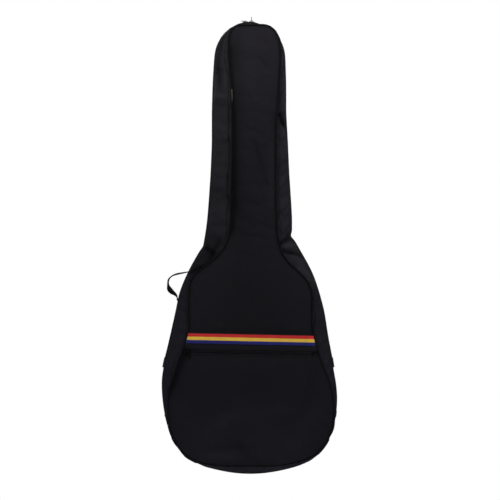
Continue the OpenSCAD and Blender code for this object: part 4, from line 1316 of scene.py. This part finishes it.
# ---- Shoulder straps ----
# Two padded straps on the back: foam between two cloths, bound with tape round the edge. They start
# under a stitched yoke and run down to webbing, whose ends are caught in cloth wings at the back seam.
strap_cloth = woven("strap_cloth", (0.0056, 0.0054, 0.0072), (0.0115, 0.0110, 0.0138), 0.0012)
strap_rows = [(0.0123, 0.0040, -0.5332, 0.034, 0.0050), (0.0163, 0.0043, -0.5522, 0.038, 0.0055),
              (0.0233, 0.0090, -0.5902, 0.050, 0.0070), (0.0383, 0.0180, -0.6402, 0.058, 0.0080),
              (0.0543, 0.0240, -0.6902, 0.060, 0.0080), (0.0723, 0.0250, -0.7452, 0.058, 0.0080),
              (0.0883, 0.0210, -0.7922, 0.048, 0.0070), (0.1003, 0.0160, -0.8242, 0.036, 0.0050)]
bag_middle = -0.0037
web_rows = [(0.1003, 0.0647, -0.8242), (0.1543, 0.0526, -0.9362)]
web_wide, web_thick = 0.025, 0.0016
wing_corners = [(0.1803, -0.9022), (0.1803, -0.9642), (0.1623, -0.9622), (0.1363, -0.9402),
                (0.1383, -0.9182)]
wing_count = 14
wing_thick = 0.0024
c = np.linspace(-1, 1, 25)
for side, where in ((-1, "left"), (1, "right")):
    rows = []
    for x, off, z, width, thick in strap_rows:
        lean = 0.012 * max(0, (z + 0.6602) / 0.13) if side < 0 else 0
        rows.append((bag_middle + side * (x - bag_middle) - lean, half_depth(z) + off, z, width, thick))
    rows = smooth_path(rows, 0.004)
    path = rows[:, :3]
    along = np.gradient(path, axis=0)
    _, wide, up = strip_frame(path, np.cross(along, (0, 1, 0)))
    if up[:, 1].mean() < 0:
        up, wide = -up, -wide
    from_end = np.minimum(np.arange(len(rows)), np.arange(len(rows))[::-1])[:, None]
    ends = rolled(from_end, 4)
    crown = (1 - np.abs(c) ** 5) ** 0.5 * 0.78 + 0.22
    crown -= 0.30 * np.exp(-((np.abs(c) - 0.86) / 0.05) ** 2)
    full = (rows[:, 4:5] / 2) * (crown[None] * (0.45 + 0.55 * ends))
    grid = path[:, None] + wide[:, None] * (c[None, :, None] * rows[:, 3, None, None] / 2)
    quilt = rumple(grid, 0.035, 61 + side) * 0.0005 * ends
    outer = grid + up[:, None] * (full + quilt)[..., None]
    inner = grid - up[:, None] * (full * 0.9 + quilt * 0.5)[..., None]
    pad = sew(f"strap_pad_{where}_cloth", outer, inner, [strap_cloth], "bag", [f"strap_pad_{where}"])
    for label, edge_side, stitch_col in (("inner", -1, 3), ("outer", 1, -4)):
        rim_path = path + wide * (edge_side * rows[:, 3:4] / 2)
        ring = ring_shape(10, 0.0016, 0.0021)
        rings = (rim_path[:, None] + wide[:, None] * ring[None, :, :1]
                 + up[:, None] * ring[None, :, 1:])
        # The binding takes the piping's cloth, painted darker as painted shade.
        tube(f"strap_binding_{where}_{label}", rings, piping_cloth, "bag", [])
        stitches(f"strap_stitches_{where}_{label}", outer[:, stitch_col], up, "bag")
    a, b = [np.array((bag_middle + side * (x - bag_middle), y, z)) for x, y, z in web_rows]
    way = (b - a) / np.linalg.norm(b - a)
    path = np.array([a - way * 0.012 + (b - a + way * 0.016) * t for t in np.linspace(0, 1, 40)])
    level = np.repeat(np.cross(way, (0, 1, 0))[None], len(path), 0)
    strip(f"strap_web_{where}_webbing", path, level, web_wide, flat_section(web_thick, 13),
          webbing.material, "bag", [f"strap_web_{where}"])
    corners = np.array([(bag_middle + side * (x - bag_middle), z) for x, z in wing_corners])
    grid = []
    for t in np.linspace(0, 1, wing_count):
        # The lower edge turns a corner at its middle point, corners[2].
        if t * 2.2 < 1:
            low_edge = corners[1] + (corners[2] - corners[1]) * min(1, t * 2.2)
        else:
            low_edge = corners[2] + (corners[3] - corners[2]) * (t * 2.2 - 1) / 1.2
        top_edge = corners[0] + (corners[4] - corners[0]) * t
        grid.append([(*(top_edge + (low_edge - top_edge) * v), 0)
                     for v in np.linspace(0, 1, wing_count)])
    grid = np.array(grid)[..., (0, 2, 1)]
    from_rim = np.minimum(np.arange(wing_count), np.arange(wing_count)[::-1])
    near = np.minimum.outer(from_rim, from_rim)
    wing_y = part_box(f"strap_wing_{where}")[0].y
    grid[..., 1] = wing_y + 0.0026 - 0.0010 * (near == 0) + 0.0004 * np.sin(near * 1.9)
    sew(f"strap_wing_{where}_cloth", grid, grid - np.array((0, wing_thick, 0)), [strap_cloth], "bag",
        [f"strap_wing_{where}"])
    loop = np.vstack([grid[2:-2, 2], grid[-3, 2:-2], grid[2:-2, -3][::-1]])
    stitches(f"strap_wing_stitches_{where}", loop, np.tile((0.0, 1.0, 0.0), (len(loop), 1)), "bag")

# ---- Yoke ----
# A webbing patch across the heads of the two straps, box-stitched through the back panel.
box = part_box("strap_yoke")
centre = middle_of("strap_yoke")
half_w, half_h = (box[1].x - box[0].x) / 2, 0.017
yoke_high, yoke_thick, yoke_dome = 0.0016, 0.0020, 0.0012
lean = (half_depth(centre[2] - half_h) - half_depth(centre[2] + half_h)) / (2 * half_h)
tall = np.array((0, -lean, 1)) / math.hypot(1, lean)
up = np.array((0, 1, lean)) / math.hypot(1, lean)
wide = np.array((1.0, 0, 0))
face = np.array((centre[0], half_depth(centre[2]) + yoke_high, centre[2]))


def over_strap(w, h):
    """How far the yoke stands up over the two strap heads beneath it."""
    return yoke_dome * math.exp(-(h / 0.012) ** 4) * math.exp(-((abs(w) - 0.02) / 0.014) ** 4)


grid = np.array([[face + wide * w + tall * h + up * over_strap(w, h)
                  for w in np.linspace(-half_w, half_w, 43)]
                 for h in np.linspace(half_h, -half_h, 19)])
sew("strap_yoke_webbing", grid[:, ::-1], grid[:, ::-1] - up * yoke_thick, [webbing.material], "bag",
    ["strap_yoke"])
for label, x in (("left", -0.0205), ("right", 0.0205)):
    box_stitch(f"yoke_stitches_{label}", face + wide * x + up * yoke_dome, wide, tall, up,
               (0.032, 0.024), "bag")

# ---- Strap adjusters ----
# Moulded nylon slides, fine-grained, and smoother on their edges where the webbing rubs. These are
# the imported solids: only their finish is set here.
moulded = Finish("adjuster_plastic")
grain = moulded.cloud(0.0006, 3)
edges = moulded.node("ShaderNodeNewGeometry", out="Pointiness")
rub = moulded.node("ShaderNodeMapRange", {0: edges, 1: 0.52, 2: 0.60})
moulded.surface(moulded.mix(rub, (0.008, 0.008, 0.009), (0.022, 0.022, 0.024)),
                0.46 - rub * 0.14 + grain * 0.1, grain, 0.00006, Specular_IOR_Level=0.22)
for node_name in ("adjuster_left", "adjuster_right"):
    frame["nodes"][node_name].data.materials.clear()
    frame["nodes"][node_name].data.materials.append(moulded.material)

# ---- Seam tag ----
# A small satin tag caught in the left neck seam. The photograph shows a grey sliver there, too thin
# to be sure of, so the tag is a guess and is left blank.
tag_satin = Finish("tag_cloth")
x, y, z = tag_satin.axes()
floats = (z * (2 * math.pi / 0.0007) + tag_satin.cloud(0.004, 2) * 2).sine()
tag_satin.surface(tag_satin.mix(tag_satin.cloud(0.01, 4), (0.043, 0.044, 0.052), (0.066, 0.067, 0.078)),
                  0.5, floats, 0.00005, Specular_IOR_Level=0.1)


def at_point(name, tree):
    """Where an image point falls on a surface. A miss takes the place nearest the ray."""
    x, y = POINTS[name]
    ray = Vector((x - IMAGE / 2, IMAGE / 2 - y, -IMAGE * lens / sensor)).normalized()
    ray.rotate(camera.rotation_euler)
    hit = tree.ray_cast(camera.location, ray)[0]
    if hit is None:
        reach = [camera.location + ray * (distance + 0.002 * k) for k in range(-50, 50)]
        hit = min((tree.find_nearest(p) for p in reach), key=lambda found: found[3])[0]
    return np.array(hit)


def curl(c, r):
    """How far the tag stands in front of the seam, across and down its length."""
    return -0.0013 - 0.0010 * math.sin(c * 2.6) - 0.0005 * math.sin(r * 2.4 + 1)


tag_spot = at_point("seam_tag", search_tree([front_cloth]))
tag_high, tag_wide, tag_thick = 0.029, 0.0042, 0.0007
grid = np.array([[tag_spot + np.array(((c - 0.5) * tag_wide, curl(c, r), (0.5 - r) * tag_high))
                  for c in np.linspace(0, 1, 7)] for r in np.linspace(0, 1, 17)])
sew("seam_tag_satin", grid, grid + np.array((0, tag_thick, 0)), [tag_satin.material], "flap",
    ["seam_tag"])

# ---- Image points ----
# Where the dressed model's edges show in the picture, and how far each thing shows from its point,
# by the vertices that the camera sees.
dressed = {piece.name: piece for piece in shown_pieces()}
hiding = search_tree([piece for name, piece in dressed.items()
                      if "stitches" not in name and "coil" not in name])


def middle_of_spots(spots):
    """The middle of a set of picture places."""
    return tuple((spots.min(0) + spots.max(0)) / 2)


def shows(names, row=None, column=None, reach=2.0):
    """Picture places of the vertices that nothing hides, in a band of rows or columns."""
    spots = []
    for name in names:
        for v in dressed[name].data.vertices:
            x, y = in_picture(v.co)
            if (row is None or abs(y - row) < reach) and (column is None or abs(x - column) < reach):
                way = (camera.location - v.co).normalized()
                if hiding.ray_cast(v.co + way * 0.0012, way)[0] is None:
                    spots.append((x, y))
    return np.array(spots) if spots else np.full((1, 2), np.nan)


all_shown = shows([name for name in dressed if "stitches" not in name])
found = {"left_edge": (all_shown[:, 0].min(), None), "right_edge": (all_shown[:, 0].max(), None),
         "top_edge": (None, all_shown[:, 1].min()), "bottom_edge": (None, all_shown[:, 1].max())}
for point, names in (("handle_loop", ["handle_webbing"]), ("seam_tag", ["seam_tag_satin"]),
                     ("ribbon", ["ribbon_strip"]), ("pocket_pull", ["pocket_slider", "pocket_pull"])):
    found[point] = middle_of_spots(shows(names))
for point in ("neck_seam_left", "neck_seam_right", "shoulder_seam_left", "shoulder_seam_right"):
    spots = shows(["flap_welt"], row=POINTS[point][1])
    spots = spots[np.abs(spots[:, 0] - POINTS[point][0]) < 12]
    found[point] = middle_of_spots(spots) if len(spots) else (np.nan, np.nan)
found["bottom_seam"] = middle_of_spots(shows(["lower_welt"], column=POINTS["bottom_seam"][0]))
gaps = {name: [None if at is None or np.isnan(at) else round(float(at - want), 2)
               for at, want in zip(found[name], POINTS[name])]
        for name in POINTS}
